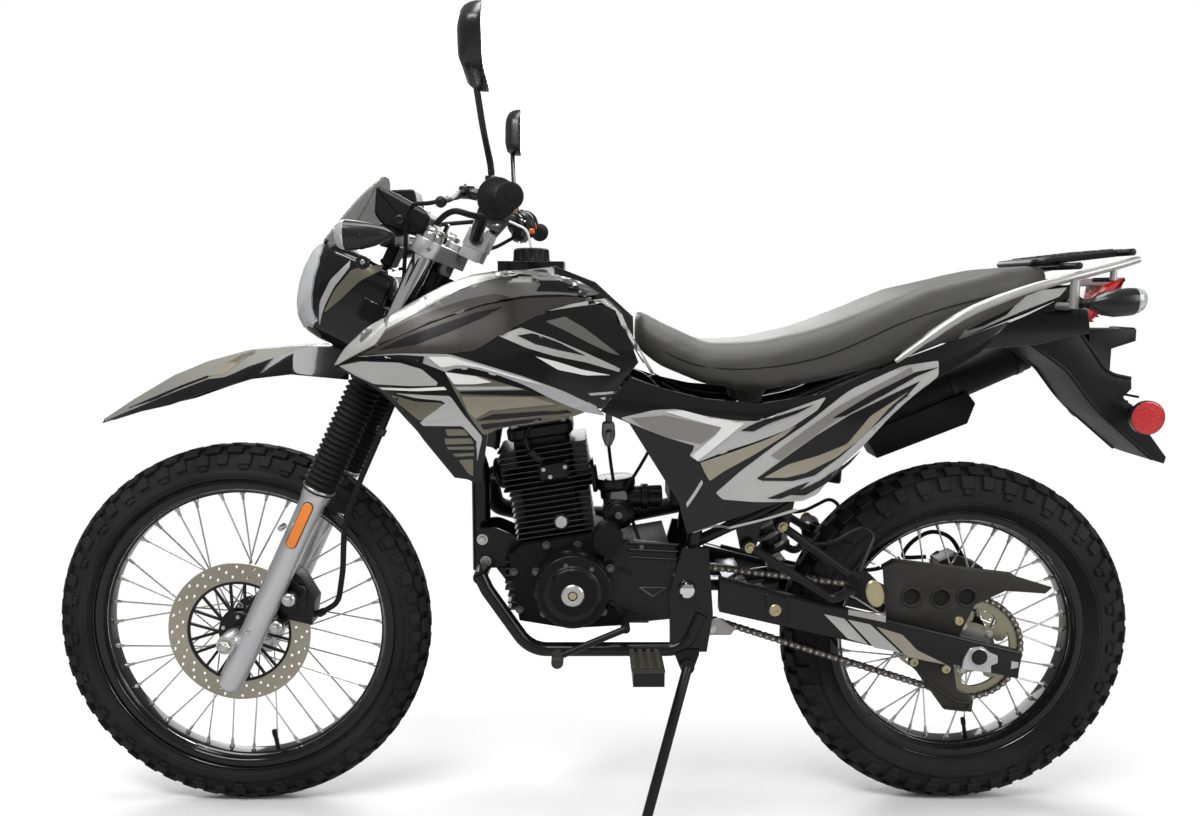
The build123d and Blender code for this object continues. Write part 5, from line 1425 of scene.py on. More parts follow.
def seat_cushion():
    """The CAD seat, rounded, filled and made slightly uneven."""
    cushion = add_object("seat_cushion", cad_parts["seat"].data.copy())
    add_modifier(cushion, "REMESH", mode="VOXEL", voxel_size=0.008)
    add_modifier(cushion, "SMOOTH", factor=0.5, iterations=22)
    add_modifier(cushion, "DISPLACE", strength=0.0035, mid_level=0.0)
    apply_all(cushion)
    for v in cushion.data.vertices:
        p = UPRIGHT @ v.co
        wave = sin(p.x * 0.045) * 0.25 + sin(p.x * 0.11 + abs(p.y) * 0.05) * 0.12
        v.co = PARKED @ Vector((p.x, p.y, p.z + wave))
    shade_smooth(cushion, 60)
    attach(cushion, "chassis")
    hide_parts("seat")
    for poly in cushion.data.polygons:
        poly.material_index = 0
    return cushion


def seat_piping(cushion):
    """Piping along the upper and lower seams of both sides."""
    side = Surface([cushion], 3)
    s = Shape()
    for seam, lift, r in ((SEAM, 0.2, 1.5), (LOWER_SEAM, 0.3, 1.2)):
        s.tube([Vector((x, side(x, z) + lift, z)) for x, z in seam], r, 8, 8)
    s.mirror()
    s.make("seat_piping", "rubber_black", "chassis")


seat_piping(seat_cushion())

# ================= fuel cap =================
CAP_BASE = Vector((130, 0, 1021))


def knurled_cap():
    """Cap with twelve grooves and its breather hose."""
    s = Shape()
    rings = []
    for h, r, groove in ((0, 33, 0), (3, 33.5, 0), (5, 33, 2.4), (19, 32.4, 2.4), (22, 31.5, 0.8),
                         (24.5, 27, 0)):
        ring = []
        for k in range(96):
            a = 2 * pi * k / 96
            dip = groove * (1, 1, 0.5, 0, 0, 0, 0, 0.5)[k % 8]
            ring.append(CAP_BASE + Vector(((r - dip) * cos(a), (r - dip) * sin(a), h)))
        rings.append(ring)
    s.loft(rings)
    s.cyl(CAP_BASE + Z * 24, CAP_BASE + Z * 25, 12, 10, seg=32)
    s.tag = 1
    s.tube([CAP_BASE + Vector((x, 0, z)) for x, z in ((0, 22), (2, 34), (8, 58), (40, 72))], 2.4, 10, 6)
    s.make("knurled_cap", ["plastic_black", "graphic_white"], "chassis", replaces=["fuel_cap"], angle=30)


knurled_cap()


# ================= engine =================
TILT = radians(9)  # the cylinder leans forward
CYL_X, CYL_Z = Vector((cos(TILT), 0, -sin(TILT))), Vector((sin(TILT), 0, cos(TILT)))
CYL_O = Vector((84, 0, 528))
FIN_COUNT, FIN_PITCH, FIN_THICK = 17, 10.1, 2.6
BARREL_TOP = 88
INLET_Y, INLET_W = 12, 93.5
PORT = Vector((188, -40, 627))
PORT_RUN = Vector((32, -6, -10)).normalized()
COVER = Vector((53, 0, 447))


def on_cylinder(u, y, w):
    return CYL_O + CYL_X * u + Y * y + CYL_Z * w


def soft_box(half_x, half_y, steps, share):
    """Rounded rectangle about the middle."""
    corners = [(-half_x, -half_y), (half_x, -half_y), (half_x, half_y), (-half_x, half_y)]
    return smooth_outline(corners, steps, share)


def fin_outline(a, b):
    """Rounded rectangle whose long sides stay straight."""
    return smooth_outline([(-a, -b), (-a * 0.3, -b), (a * 0.3, -b), (a, -b), (a, b), (a * 0.3, b),
                           (-a * 0.3, b), (-a, b)], 3, 0.16)


def finned_cylinder():
    s = Shape()
    s.prism(soft_box(52, 50, 4, 0.2), on_cylinder, 0, 190, 2)
    for level in range(FIN_COUNT):
        w = 5 + level * FIN_PITCH
        outline = fin_outline(72, 68) if w < BARREL_TOP else fin_outline(80, 73.5)
        s.tag = 0
        s.prism(outline, on_cylinder, w, w + FIN_THICK, 0.7)
        # painted highlight along the fin's edge
        s.tag = 1
        s.prism([(u * 1.0045, v * 1.0045) for u, v in outline], on_cylinder, w + 0.9, w + 1.7, 0)
    s.tag = 0
    s.prism(soft_box(60, 58, 4, 0.18), on_cylinder, 181, 206, 5)
    s.tag = 2
    for u in (-44, 44):
        for v in (-44, 44):
            s.bolt(on_cylinder(u, v, 205), CYL_Z, 6, 6)
    s.tag = 0
    s.cyl(on_cylinder(-50, INLET_Y, INLET_W), on_cylinder(-90, INLET_Y, INLET_W), 18, seg=32, edge=1.5)
    s.prism(soft_box(31, 24, 4, 0.3), lambda a, b, h: on_cylinder(-h, INLET_Y + b, INLET_W + a), 78, 86, 1.5)
    s.cyl(PORT - PORT_RUN * 50, PORT - PORT_RUN * 1, 21, seg=32, edge=1.5)
    s.make("finned_cylinder", ["engine_black", "edge_highlight", "zinc"], "chassis", replaces=["engine_cylinder"],
           angle=30)


def plug_and_lead():
    """Side covers of barrel and head, spark plug cap and its lead."""
    s = Shape()
    s.cyl((75, 66, 558), (75, 76, 558), 12.5, 11.5, 36, 1.5)
    s.tag = 1
    s.cyl((75, 62, 558), (75, 72, 558), 15, 15, 36, 1.5)
    s.prism(smooth_outline([(60, 640), (112, 632), (118, 662), (66, 671)], 4, 0.25), side_place, 60, 78, 3)
    s.tag = 0
    for x, z in ((94, 642), (68, 660), (106, 655)):
        s.bolt((x, 78, z), Y, 4.5, 4, False)
    s.tag = 1
    s.cyl((112, 62, 668), (132, 76, 690), 9, 7.5, 20, 1.5)
    s.tube([(132, 76, 690), (140, 80, 716), (120, 66, 748), (70, 40, 790)], 3.6, 10)
    s.make("plug_and_lead", ["zinc", "engine_black"], "chassis")


def flywheel_cover(s):
    """Round cover with its raised bands, cap and hexagon."""
    s.lathe(COVER, Y, [(84, 20), (84, 71), (104, 70.5), (118, 69), (123, 66), (125, 60), (133, 59.5),
                       (137, 57), (139, 52), (141.5, 51), (144, 48), (145, 42), (146.5, 41), (147, 30),
                       (148, 28), (148.5, 22), (148.6, 10)], 72)
    for r0, r1, a0, a1, y0, y1 in ((52, 67, 22, 158, 118, 140), (36, 47, 40, 140, 140, 149),
                                   (56, 66, 200, 340, 116, 133)):
        s.prism(kidney(r0, r1, radians(a0), radians(a1), 14, 5), around(COVER), y0, y1, 2.2)
    s.slab(smooth_outline([(-14, 476), (118, 462), (122, 436), (104, 430), (2, 424), (-16, 436)], 4, 0.3), 96,
           136, 3)
    s.tag = 1
    s.lathe(COVER, Y, [(147, 2), (147, 20), (151, 19.6), (152.5, 17.5), (152.5, 8.5), (149.5, 8)], 48)
    s.tag = 2
    s.loft([[COVER + Vector((7.2 * cos(pi * k / 3), y, 7.2 * sin(pi * k / 3))) for k in range(6)]
            for y in (148.5, 152.0)])


def gear_cover(s):
    """Starter end and gear case cover, with raised ridges, and painted highlight lines along the ridges' tops
    and round a triangle mark.
    """
    s.tag = 0
    s.across(-8, 534, [(72, 27), (122, 27), (126.5, 25), (128, 22), (127, 19), (124, 17.5), (123.5, 4)], 56)
    case = [(2, 528), (-46, 533), (-130, 525), (-139, 467), (-135, 388), (-41, 378), (2, 434)]
    s.slab(smooth_outline(case, 4, 0.2), 92, 101, 3.5)
    for outline, top, edge in (([(-44, 532), (-134, 527), (-134, 521), (-44, 525)], 105, 2),
                               ([(-44, 519), (-134, 514), (-134, 509), (-44, 513)], 104.5, 2),
                               ([(-50, 505), (-131, 501), (-131, 496), (-50, 499)], 104, 2),
                               ([(-29, 484), (-53, 473), (-51, 469), (-27, 480)], 104, 1.5),
                               ([(-10, 424), (-62, 404), (-60, 398), (-10, 416)], 104.5, 2)):
        s.slab(outline, 100, top, edge)
    # painted highlight lines round the triangle mark and along the ridges' tops
    s.tag = 3
    mark = ((-65, 446), (-112, 446), (-89, 430))
    for k in range(3):
        a, b = mark[k], mark[(k + 1) % 3]
        s.tube([(a[0], 101.4, a[1]), (b[0], 101.4, b[1])], 0.9, 6, smooth=False)
    for z in (531, 518, 504):
        s.tube([(-46, 105, z - 1), (-132, 105, z - 5)], 0.6, 6, smooth=False)


def left_covers():
    s = Shape()
    flywheel_cover(s)
    gear_cover(s)
    s.make("left_covers", ["engine_black", "zinc", "brass", "edge_highlight"], "chassis", angle=32)


def case_bolts():
    s = Shape()
    for x, y, z in ((101, 92, 520), (45, 88, 520), (65, 141, 498), (20, 141, 492), (-38, 100, 541),
                    (-68, 101, 521), (-42, 101, 388), (-128, 101, 470), (-124, 101, 400), (0, 101, 400),
                    (118, 118, 480), (-12, 118, 486), (0, 118, 408), (104, 118, 404), (150, 87, 400),
                    (160, 87, 470)):
        s.bolt((x, y - 2, z), Y, 5.0, 4.5, True)
    # caps of the swing arm's pivot
    s.tag = 1
    cap = [(108, 11), (113, 14.5), (118, 15), (122, 12.5), (124, 7)]
    s.across(-148, 446, cap, 32)
    s.across(-148, 446, [(-y, r) for y, r in reversed(cap)], 32)
    s.make("case_bolts", ["bolt_dark", "chrome"], "chassis")


def front_case_fins():
    """Fins on the case's front and the engine's hangers."""
    s = Shape()
    for k in range(9):
        z = 398 + k * 12.4
        x1 = 171 + (5 if 2 < k < 8 else 0)
        s.slab(smooth_outline([(112, z), (x1, z), (x1, z + 3.6), (112, z + 3.6)], 2, 0.2), -66, 84, 1.2)
    s.slab([(112, 396), (150, 396), (158, 505), (112, 505)], -60, 76, 3)
    s.tag = 1
    for x, z in ((220, 518), (214, 477), (159, 488)):
        s.bolt((x, 43, z), Y, 7, 6)
        s.bolt((x, -43, z), -Y, 7, 6)
    s.tag = 0
    hanger = smooth_outline([(232, 538), (196, 540), (150, 520), (143, 484), (160, 472), (220, 464)], 4, 0.25)
    for sign in (1, -1):
        s.slab(hanger, sign * 37, sign * 43, 1)
    s.make("front_case_fins", ["engine_black", "zinc"], "chassis", angle=30)


rounded("case_shell", "engine_case", 3, 2, "case_matt", angle=20)
finned_cylinder()
plug_and_lead()
left_covers()
case_bolts()
front_case_fins()


# ================= carburettor, tap =================
def carburettor_body():
    """Bowl, body, boots at both ends, air box, screws and hoses."""
    s = Shape()
    s.lathe(Vector((-28, 12, 560)), Vector((0.08, 0, 1)),
            [(0, 22), (4, 25), (28, 25), (32, 29), (46, 29), (49, 34), (54, 37), (66, 37), (70, 34),
             (72, 20)], 48)
    s.across(-29, 566, [(10, 30), (38, 30), (40, 27), (46, 26), (48, 22), (54, 21), (57, 16), (57, 6)], 48)
    s.cyl((-2, 12, 590), (-110, 12, 592), 21, seg=36, edge=2)
    s.cyl((-20, 12, 590), (-34, 12, 590), 26, seg=36, edge=2)
    s.cyl((-70, 12, 591), (-84, 12, 591), 25, seg=36, edge=2)
    s.box((-206, -57, 582), (-121, 57, 679), 6)
    s.tag = 1
    s.slab(smooth_outline([(-12, 592), (-46, 590), (-44, 608), (-30, 613), (-15, 609)], 4, 0.3), 34, 42, 1.5)
    s.cyl((-29, 57, 566), (-29, 60, 566), 7, seg=20, edge=1)
    for x in (-6, -52):
        s.bolt((x, 36, 628), Y, 3, 3, False)
    s.tag = 2
    for hose, r in (([(-52, 30, 560), (-62, 40, 530), (-70, 60, 512)], 3.5),
                    ([(-40, 46, 612), (-62, 62, 650), (-90, 60, 700), (-60, 40, 760)], 3.0),
                    ([(-10, 52, 694), (-14, 58, 660), (-20, 50, 622)], 3.2)):
        s.tube(hose, r, 10)
    s.make("carburettor_body", ["engine_black", "carb_alloy", "rubber_black"], "chassis",
           replaces=["carburettor"], angle=32)


def fuel_tap():
    s = Shape()
    s.slab(smooth_outline([(2, 738), (-20, 738), (-22, 712), (-14, 694), (-4, 694), (3, 712)], 4, 0.3), 46,
           64, 2.5)
    s.cyl((-10, 60, 716), (-10, 70, 716), 8, seg=24, edge=1.5)
    s.slab(smooth_outline([(-14, 722), (-6, 722), (-3, 698), (-11, 696)], 3, 0.3), 69, 74, 1.2)
    s.tube([(-10, 52, 736), (-10, 50, 760), (-2, 44, 800)], 6, 12)
    s.make("fuel_tap", "carb_alloy", "chassis")


carburettor_body()
fuel_tap()

# ================= exhaust =================
CAN_RUN = Vector((-130, -6, 78)).normalized()
CAN_START = Vector((-430, -146, 650)) + CAN_RUN * 140
CAN_END = Vector((-840, -150, 853))


def header_flange():
    s = Shape()
    s.cyl(PORT + PORT_RUN * 1, PORT + PORT_RUN * 9, 30, seg=36, edge=1.5)
    s.tag = 1
    ex, ey = frame_of(PORT_RUN)
    for sign in (1, -1):
        s.bolt(PORT + PORT_RUN * 9 + ex * sign * 24, PORT_RUN, 6, 7)
    s.make("header_flange", ["satin_black", "zinc"], "chassis")


def silencer_bands():
    """Bands round the silencer and its end cap with the outlet."""
    along = (CAN_END - CAN_START).normalized()
    s = Shape()
    for share in (0.06, 0.5, 0.93):
        c = CAN_START + (CAN_END - CAN_START) * share
        s.lathe(c, along, [(-6, 38.2), (-6, 39.6), (6, 39.6), (6, 38.2)], 56, closed=True)
    s.tag = 1
    s.lathe(CAN_END, along, [(-1, 37), (0.5, 33), (-3, 22), (-14, 20), (-14, 4)], 48)
    s.lathe(CAN_END, along, [(-10, 17), (7, 17), (7, 14), (-10, 14)], 36, closed=True)
    s.make("silencer_bands", ["satin_black", "engine_black"], "chassis")


header_flange()
rounded("silencer_shell", "muffler", 3, 2, "silencer_black", angle=30)
silencer_bands()


# ================= foot pieces =================
def peg_rubbers():
    """Ribbed rubber of the gear lever and studded rubbers of the rider's pegs."""
    s = Shape()
    for k in range(9):
        y = 141 + k * 4.4
        s.across(79, 338, [(y, 9.2), (y + 0.5, 10.6), (y + 3.0, 10.6), (y + 3.5, 9.2)], 28)
    s.cyl((79, 139, 338), (79, 182, 338), 9.6, seg=28, edge=2)
    for sign in (1, -1):
        for i in range(4):
            for j in range(7):
                x, y = -96 + i * 14, sign * (163 + j * 12)
                s.box((x, y - 4.2, 349), (x + 9.5, y + 4.2, 356), 1.5)
        s.box((-101, sign * 158, 343), (-47, sign * 242, 351), 3)
    s.tag = 1
    for sign in (1, -1):
        s.bolt((-74, sign * 160, 333), -Y * sign, 5, 4)
    s.make("peg_rubbers", ["peg_rubber", "zinc"], "chassis")


def passenger_peg_ends():
    """End cap and ribbed rubber of the passenger's pegs."""
    s = Shape()
    for sign in (1, -1):
        rings = []
        for y, grow in ((234.5, 0), (238, 1.0), (240.5, -1.5)):
            ring = []
            for k in range(32):
                a = 2 * pi * k / 32
                x = -443 + (16.5 + grow) * cos(a) * 0.86 + 4 * sin(a)
                ring.append(Vector((x, sign * y, 480 + (22 + grow) * sin(a))))
            rings.append(ring)
        s.tag = 0
        s.loft(rings)
        s.tag = 1
        for k in range(9):
            y = 170 + k * 7.2
            s.across(-441, 479, [(y, 17.2), (y + 0.8, 19), (y + 4.2, 19), (y + 5, 17.2)], 32, sign)
    s.make("passenger_peg_ends", ["brass", "rubber_black"], "chassis")


peg_rubbers()
passenger_peg_ends()
def left_of(node, sign):
    """The left piece of a pair stands in for the CAD node that holds both."""
    return [node] if sign > 0 else []


# ================= fork =================
LEG_U = 27.0  # the legs' place ahead of the steering axis
LEG_Y = 95  # and their distance across
BOOT_START, BOOT_END, BOOT_FOLDS = 331, 567.7, 23
BOOT_FOLD = ((0.0, 25.4), (0.22, 27.2), (0.4, 30.0), (0.5, 30.8), (0.6, 30.0), (0.78, 27.2))


def fork_leg(side_name, sign):
    """Stanchion, slider with its axle boss, top cap and pinch screws."""
    y = sign * LEG_Y
    s = Shape()
    foot = on_steer(LEG_U, y, 0)
    s.tag = 1
    s.lathe(foot, STEER_W, [(302, 18.5), (809, 18.5), (812, 17.5)], 48)
    s.tag = 0
    s.lathe(foot, STEER_W, [(-82, 8), (-82, 14), (-79, 18.5), (-72, 21), (-50, 22.6), (-20, 23.3), (40, 23),
                            (180, 22.4), (296, 22.6), (304, 24.6), (308, 25.5), (317, 25.5), (319, 24.5),
                            (319, 18.5)], 56)
    s.lathe(FRONT + Y * y, Y, [(-22, 13.5), (-20.5, 16.4), (-16, 17), (16, 17), (20.5, 16.4), (22, 13.5)], 40)
    web = [on_steer(LEG_U + u, 0, w) for u, w in ((8, -16), (40, -15), (40, 15), (8, 16))]
    s.slab([(p.x, p.z) for p in web], y - 14, y + 14, 4)
    s.tag = 2
    s.lathe(foot, STEER_W, [(808, 12), (814, 16.5), (817, 17), (820, 16), (822, 13), (822, 6)], 32)
    s.bolt(foot + STEER_W * 820, STEER_W, 8, 7, False)
    s.bolt(on_steer(LEG_U + 22, y + sign * 14, -9), Y * sign, 4, 4)
    s.bolt(on_steer(LEG_U + 6, y + sign * 22, 40), Y * sign, 4, 4)
    s.make("fork_leg_" + side_name, ["fork_silver", "chrome", "zinc"], "steering",
           replaces=left_of("fork_legs", sign), angle=38)


def fork_boot(side_name, sign):
    """Bellows from the slider to the lower clamp, with its clip."""
    s = Shape()
    foot = on_steer(LEG_U, sign * LEG_Y, 0)
    pitch = (BOOT_END - BOOT_START) / BOOT_FOLDS
    profile = [(319.3, 18.8), (319.3, 27), (321, 28.2), (328, 28.2), (329.5, 26.2)]
    profile += [(BOOT_START + pitch * (k + j), r) for k in range(BOOT_FOLDS) for j, r in BOOT_FOLD]
    profile += [(566, 25.6), (BOOT_END, 25.6), (BOOT_END, 18.8)]
    s.lathe(foot, STEER_W, profile, 44)
    s.tag = 1
    s.lathe(foot, STEER_W, [(322.6, 28.3), (323.2, 29.2), (326.4, 29.2), (327, 28.3)], 44, closed=True)
    s.make("fork_boot_" + side_name, ["rubber_black", "zinc"], "steering",
           replaces=left_of("fork_gaiters", sign), angle=60)


for side_name, sign in SIDES:
    fork_leg(side_name, sign)
    fork_boot(side_name, sign)
s = Shape()
for sign in (1, -1):
    s.bolt(FRONT + Y * sign * 117, Y * sign, 11, 8)
    s.cyl(FRONT + Y * sign * 125, FRONT + Y * sign * 129, 7.5, seg=20, edge=1)
    s.across(FRONT.x, FRONT.z, [(48 if sign > 0 else 45, 9), (50, 14), (72, 14), (73.6, 9)], 32, sign)
s.cyl(FRONT - Y * 120, FRONT + Y * 120, 8, seg=24)
s.make("front_axle", "zinc", "steering")

rounded("clamp_castings", "triple_clamps", 3.0, 3, "fork_silver", angle=25)
CAP_SCREW = [(0, 4.4), (3.6, 4.4), (4.4, 3.6), (4.4, 2.2), (2, 2.2)]
PINCH_SCREW = [(-6, 4), (-1.5, 4), (0, 3.2), (0, 1.8), (-2, 1.8)]
s = Shape()
s.lathe(on_steer(0, 0, 800), STEER_W, [(0, 19), (2, 19), (2.6, 14), (6, 13), (6, 5)], 32)
for sign in (1, -1):
    for u in (-48, -22):
        for y in (-9, 9):
            s.lathe(on_steer(u, sign * 42 + y, 852), STEER_W, CAP_SCREW, 14)
    for w in (575, 592, 786):
        s.lathe(on_steer(LEG_U - 6, sign * 126, w), Y * sign, PINCH_SCREW, 14)
for w in (594, 779):
    s.cyl(on_steer(LEG_U + 26, 52, w), on_steer(LEG_U + 26, -52, w), 4.5, seg=16, edge=1)
s.make("clamp_bolts", "zinc", "steering")

# ignition switch and key
s = Shape()
s.lathe(on_steer(28, 0, 772), STEER_W, [(-30, 18), (22, 18), (26, 16.5), (27.5, 15), (27.5, 5)], 36)
s.tag = 1
s.lathe(on_steer(28, 0, 799), STEER_W, [(0, 10), (1.4, 10), (2, 9), (2, 4)], 28)
s.steer_box((27.0, -6, 800), (29.4, 6, 822), 0.8)
s.tag = 0
s.steer_box((25.0, -10, 817), (31, 10, 838), 2.5)
s.make("ignition_lock", ["signal_black", "zinc"], "steering")

# ================= handlebar furniture =================
BAR_BEND, BAR_END = Vector((-42, 180, 900)), Vector((-97, 404, 909))  # steering frame, left half


def grip_point(distance, sign):
    """Point on the bar's straight end, at a distance in from its tip."""
    p = BAR_END + (BAR_BEND - BAR_END).normalized() * distance
    return on_steer(p.x, sign * p.y, p.z)


def ribbed_grip(side_name, sign, root, along, gx, gy):
    """Grip with its flange, end plug and rows of staggered pads."""
    s = Shape()
    s.lathe(root, along, [(-6, 4), (-6, 15.5), (-4.8, 18.2), (-1.5, 19.4), (2.2, 19.4), (4.6, 18.0),
                          (6, 16.2), (8, 15.2), (108, 15.2), (111, 17), (114, 25), (115.5, 29.6), (118.5, 31),
                          (121.5, 30.6), (123.5, 27), (124, 11.4)], 48)
    s.lathe(root, along, [(-6.9, 3), (-6.9, 7), (-6.0, 7.6), (-5.4, 7.6)], 28)
    for j in range(13):
        at = 12 + j * 7.4
        for k in range(14):
            a = 2 * pi * (k + 0.5 * (j % 2)) / 14
            out = gx * cos(a) + gy * sin(a)
            turn = out.cross(along)
            s.box((-2.6, at, 15.0), (2.6, at + 5.2, 16.9), 0.8, basis=(turn, along, out), origin=root)
    s.make("ribbed_grip_" + side_name, "rubber_black", "steering", replaces=left_of("grips", sign), angle=40)


def switches(s, root, along, gx):
    """Switch housing with its screws, slides and horn button."""
    s.lathe(root, along, [(125, 12), (125, 23), (127, 26.5), (131, 28), (146, 28), (149, 26), (150, 24),
                          (153, 23.5), (162, 22), (165, 19.5), (165, 12)], 44)
    s.box((-13, 127, -38), (15, 163, -16), 5, basis=(gx, along, Z), origin=root)
    s.tag = 3
    for at in (134, 156):
        s.bolt(root + along * at - Z * 38, -Z, 3, 2.5, False)
    s.tag = 1
    s.box((-4, 132, 26), (8, 140, 30.5), 1.5, basis=(X, along, Z), origin=root)
    s.box((-30.5, 128, -10), (-24, 138, 2), 1.8, basis=(X, along, Z), origin=root)
    s.tag = 2
    s.box((-31.5, 148, -22), (-20, 158, -12), 2, basis=(X, along, Z), origin=root)


def lever(s, root, along, sign):
    """Perch with its clamp and pivot, and the blade. Gives back the pivot."""
    s.tag = 0
    s.lathe(root, along, [(168, 12), (168, 15.6), (169.5, 17), (194.5, 17), (196, 15.6), (196, 12)], 36)
    pivot = grip_point(185, sign) + Vector((38, 0, 10))
    s.tube([grip_point(182, sign), grip_point(182, sign) + Vector((20, 0, 6)), pivot], 11, 20, flat=0.85)
    s.lathe(pivot, Z, [(-9, 6), (-9, 12), (-7.5, 13), (7.5, 13), (9, 12), (9, 6)], 28)
    tip = grip_point(30, sign) + Vector((92, 0, -8))
    bow = [pivot, pivot.lerp(tip, 0.16) + Vector((8, 0, 1)), pivot.lerp(tip, 0.45) + Vector((3, 0, 0)),
           pivot.lerp(tip, 0.75) + Vector((-3, 0, 0)), pivot.lerp(tip, 0.96)]
    s.tag = 4
    s.tube(bow, 6, 14, radii=[7.0, 7.2, 6.2, 5.4, 5.0], flat=0.72)
    s.lathe(tip, (tip - pivot).normalized(),
            [(-12, 4), (-9, 6.2), (-5, 7.8), (0, 8.2), (4, 7), (6.4, 4), (7, 1.5)], 24)
    s.tag = 3
    s.bolt(pivot + Z * 9, Z, 5, 4, False)
    for k in (172, 192):
        s.bolt(root + along * k + Vector((-17, 0, 0)), -X, 3, 3, False)
    return pivot


def clutch_side(s, root, along, pivot):
    """Cable adjuster and boot, clutch cable and wiring, down behind the lamp."""
    s.tube([pivot + Vector((2, -6, 0)), pivot + Vector((22, -16, -4))], 6.5, 14)
    s.tag = 5
    s.tube([pivot + Vector((20, -15, -4)), pivot + Vector((64, -52, -12)), on_steer(92, 84, 838),
            on_steer(58, 56, 740), on_steer(34, 44, 660)], 3.6, 12)
    s.tube([root + along * 150 - Z * 30, grip_point(196, 1) + Vector((26, 0, -26)), on_steer(16, 128, 862),
            on_steer(46, 62, 800), on_steer(48, 30, 745)], 5.2, 12)


def brake_side(s, root, along):
    """Brake master cylinder and its cup, hose and throttle cable."""
    for low, high, edge in (((12, 150, -4), (56, 204, 18), 5), ((16, 156, 16), (52, 202, 40), 5),
                            ((14, 154, 40), (54, 204, 45), 2)):
        s.box(low, high, edge, basis=(X, along, Z), origin=root)
    s.tag = 3
    for at in (163, 195):
        s.bolt(root + along * at + X * 34 + Z * 45, Z, 3, 2, False)
    s.tag = 5
    s.tube([root + along * 200 + X * 36 + Z * 4, root + along * 226 + X * 46 - Z * 6, on_steer(84, -70, 812),
            on_steer(62, -20, 760), on_steer(30, 60, 650), on_steer(-20, 112, 575)], 4.2, 12)
    s.tube([root + along * 146 - Z * 26 + X * 8, root + along * 190 - Z * 60 + X * 46, on_steer(60, -60, 780),
            on_steer(42, -52, 700), on_steer(16, -48, 620)], 3.8, 12)


def control_set(side_name, sign, root, along, gx):
    s = Shape()
    switches(s, root, along, gx)
    pivot = lever(s, root, along, sign)
    s.tag = 0
    # mirror boss with its nut
    s.lathe(grip_point(182, sign), Z, [(8, 10), (14, 11), (19.5, 11), (20, 9)], 24)
    if sign > 0:
        clutch_side(s, root, along, pivot)
    else:
        brake_side(s, root, along)
    s.make("control_set_" + side_name,
           ["signal_black", "red_plastic", "orange_plastic", "zinc", "satin_black", "rubber_black"],
           "steering", replaces=left_of("hand_controls", sign), angle=35)


def mirror(side_name, sign):
    """Stem, shell and glass of a mirror."""
    s = Shape()
    foot = grip_point(182, sign) + Z * 20.2
    top = foot + Vector((12, sign * 103, 141))
    s.lathe(foot, Z, [(-1, 9), (0, 11), (14, 11), (15, 9.6), (15, 6), (24, 6.4), (25, 5)], 6)
    s.tube([foot + Z * 14, foot + Vector((1.2, sign * 6, 34)), foot.lerp(top, 0.55), foot.lerp(top, 0.92),
            top],
           5.0, 16, radii=[5.6, 5.4, 5.0, 5.0, 6.5])
    outline = smooth_outline([(292, 133), (316, 121), (420, 139), (432, 197), (404, 227), (308, 219)], 7, 0.4)
    my, mz = 362.0, 172.7
    rings = []
    for dx, share in ((-7.5, 0.965), (-6.6, 0.99), (-5.0, 1.0), (2, 1.0), (9, 0.975), (16, 0.92), (22, 0.83),
                      (26, 0.70), (28.2, 0.50), (28.5, 0.2)):
        rings.append([Vector((foot.x + dx, sign * (my + (y - my) * share), foot.z + mz + (z - mz) * share))
                      for y, z in outline])
    s.loft(rings)
    s.tag = 1
    inner = [(my + (y - my) * 0.93, mz + (z - mz) * 0.93) for y, z in outline]
    s.prism(inner, lambda a, b, h: Vector((foot.x + h, sign * a, foot.z + b)), -7.9, -7.4, 0)
    s.make("mirror_" + side_name, ["signal_black", "mirror_glass"], "steering",
           replaces=left_of("mirrors", sign), angle=32)


for side_name, sign in SIDES:
    root = grip_point(0, sign)
    along = (grip_point(100, sign) - root).normalized()
    gx, gy = frame_of(along, Z)
    ribbed_grip(side_name, sign, root, along, gx, gy)
    control_set(side_name, sign, root, along, gx)
    mirror(side_name, sign)

# ================= instruments =================
# the dials stand on a plane that slopes down to the rear
DASH = Vector((345, 0, 1124.5))
DASH_DOWN = Vector((-78, 0, -43)).normalized()
DASH_UP = Vector((DASH_DOWN.z, 0, -DASH_DOWN.x))
SPEEDO = DASH + DASH_DOWN * 2 - Y * 36


def on_dash(a, b, h):
    return DASH + DASH_DOWN * a + Y * b + DASH_UP * h


def dial_box(s, low, high, edge, turn):
    """Bar on the round dial, turned about its middle."""
    c, d = turn
    s.box(low, high, edge, basis=(DASH_DOWN * c + Y * d, Y * c - DASH_DOWN * d, DASH_UP), origin=SPEEDO)


s = Shape()
s.slab(smooth_outline([(392, 1144), (384, 1146), (306, 1103), (300, 1094), (309, 1068), (330, 1064),
                       (381, 1079), (396, 1100)], 4, 0.25), -72, 72, 5)
s.slab(smooth_outline([(384, 1144), (334, 1146), (328, 1118), (372, 1140)], 4, 0.2), -44, 30, 3)
s.slab(smooth_outline([(362, 1044), (388, 1044), (388, 1084), (362, 1078)], 3, 0.2), -70, 70, 3)
s.steer_box((84, -30, 722.5), (104, 30, 766), 3)
s.tag = 1
for sign in (1, -1):
    s.across(352, 1090, [(69.5, 9), (73.5, 9), (76, 8), (77, 5), (75.1, 4), (75.1, 1)], 24, sign)
s.tag = 2
s.prism(smooth_outline([(-34, 4), (38, 4), (38, 66), (-34, 66)], 4, 0.2), on_dash, 0.4, 2.4, 0.6)
s.prism(disc_loop(2, -36, 30, 44), on_dash, 0.4, 2.4, 0.6)
s.tag = 3
s.prism(smooth_outline([(-20, 14), (24, 14), (24, 56), (-20, 56)], 3, 0.15), on_dash, 2.0, 3.2, 0.3)
s.tag = 4
for k in range(21):
    a = radians(-40 + k * 13)
    dial_box(s, (22.5 if k % 2 else 20.5, -0.5, 2.2), (25.5, 0.5, 3.0), 0, (cos(a), sin(a)))
s.tag = 5
dial_box(s, (-4, -0.9, 3.0), (22, 0.9, 4.0), 0.2, (0.4, 0.917))
s.tag = 1
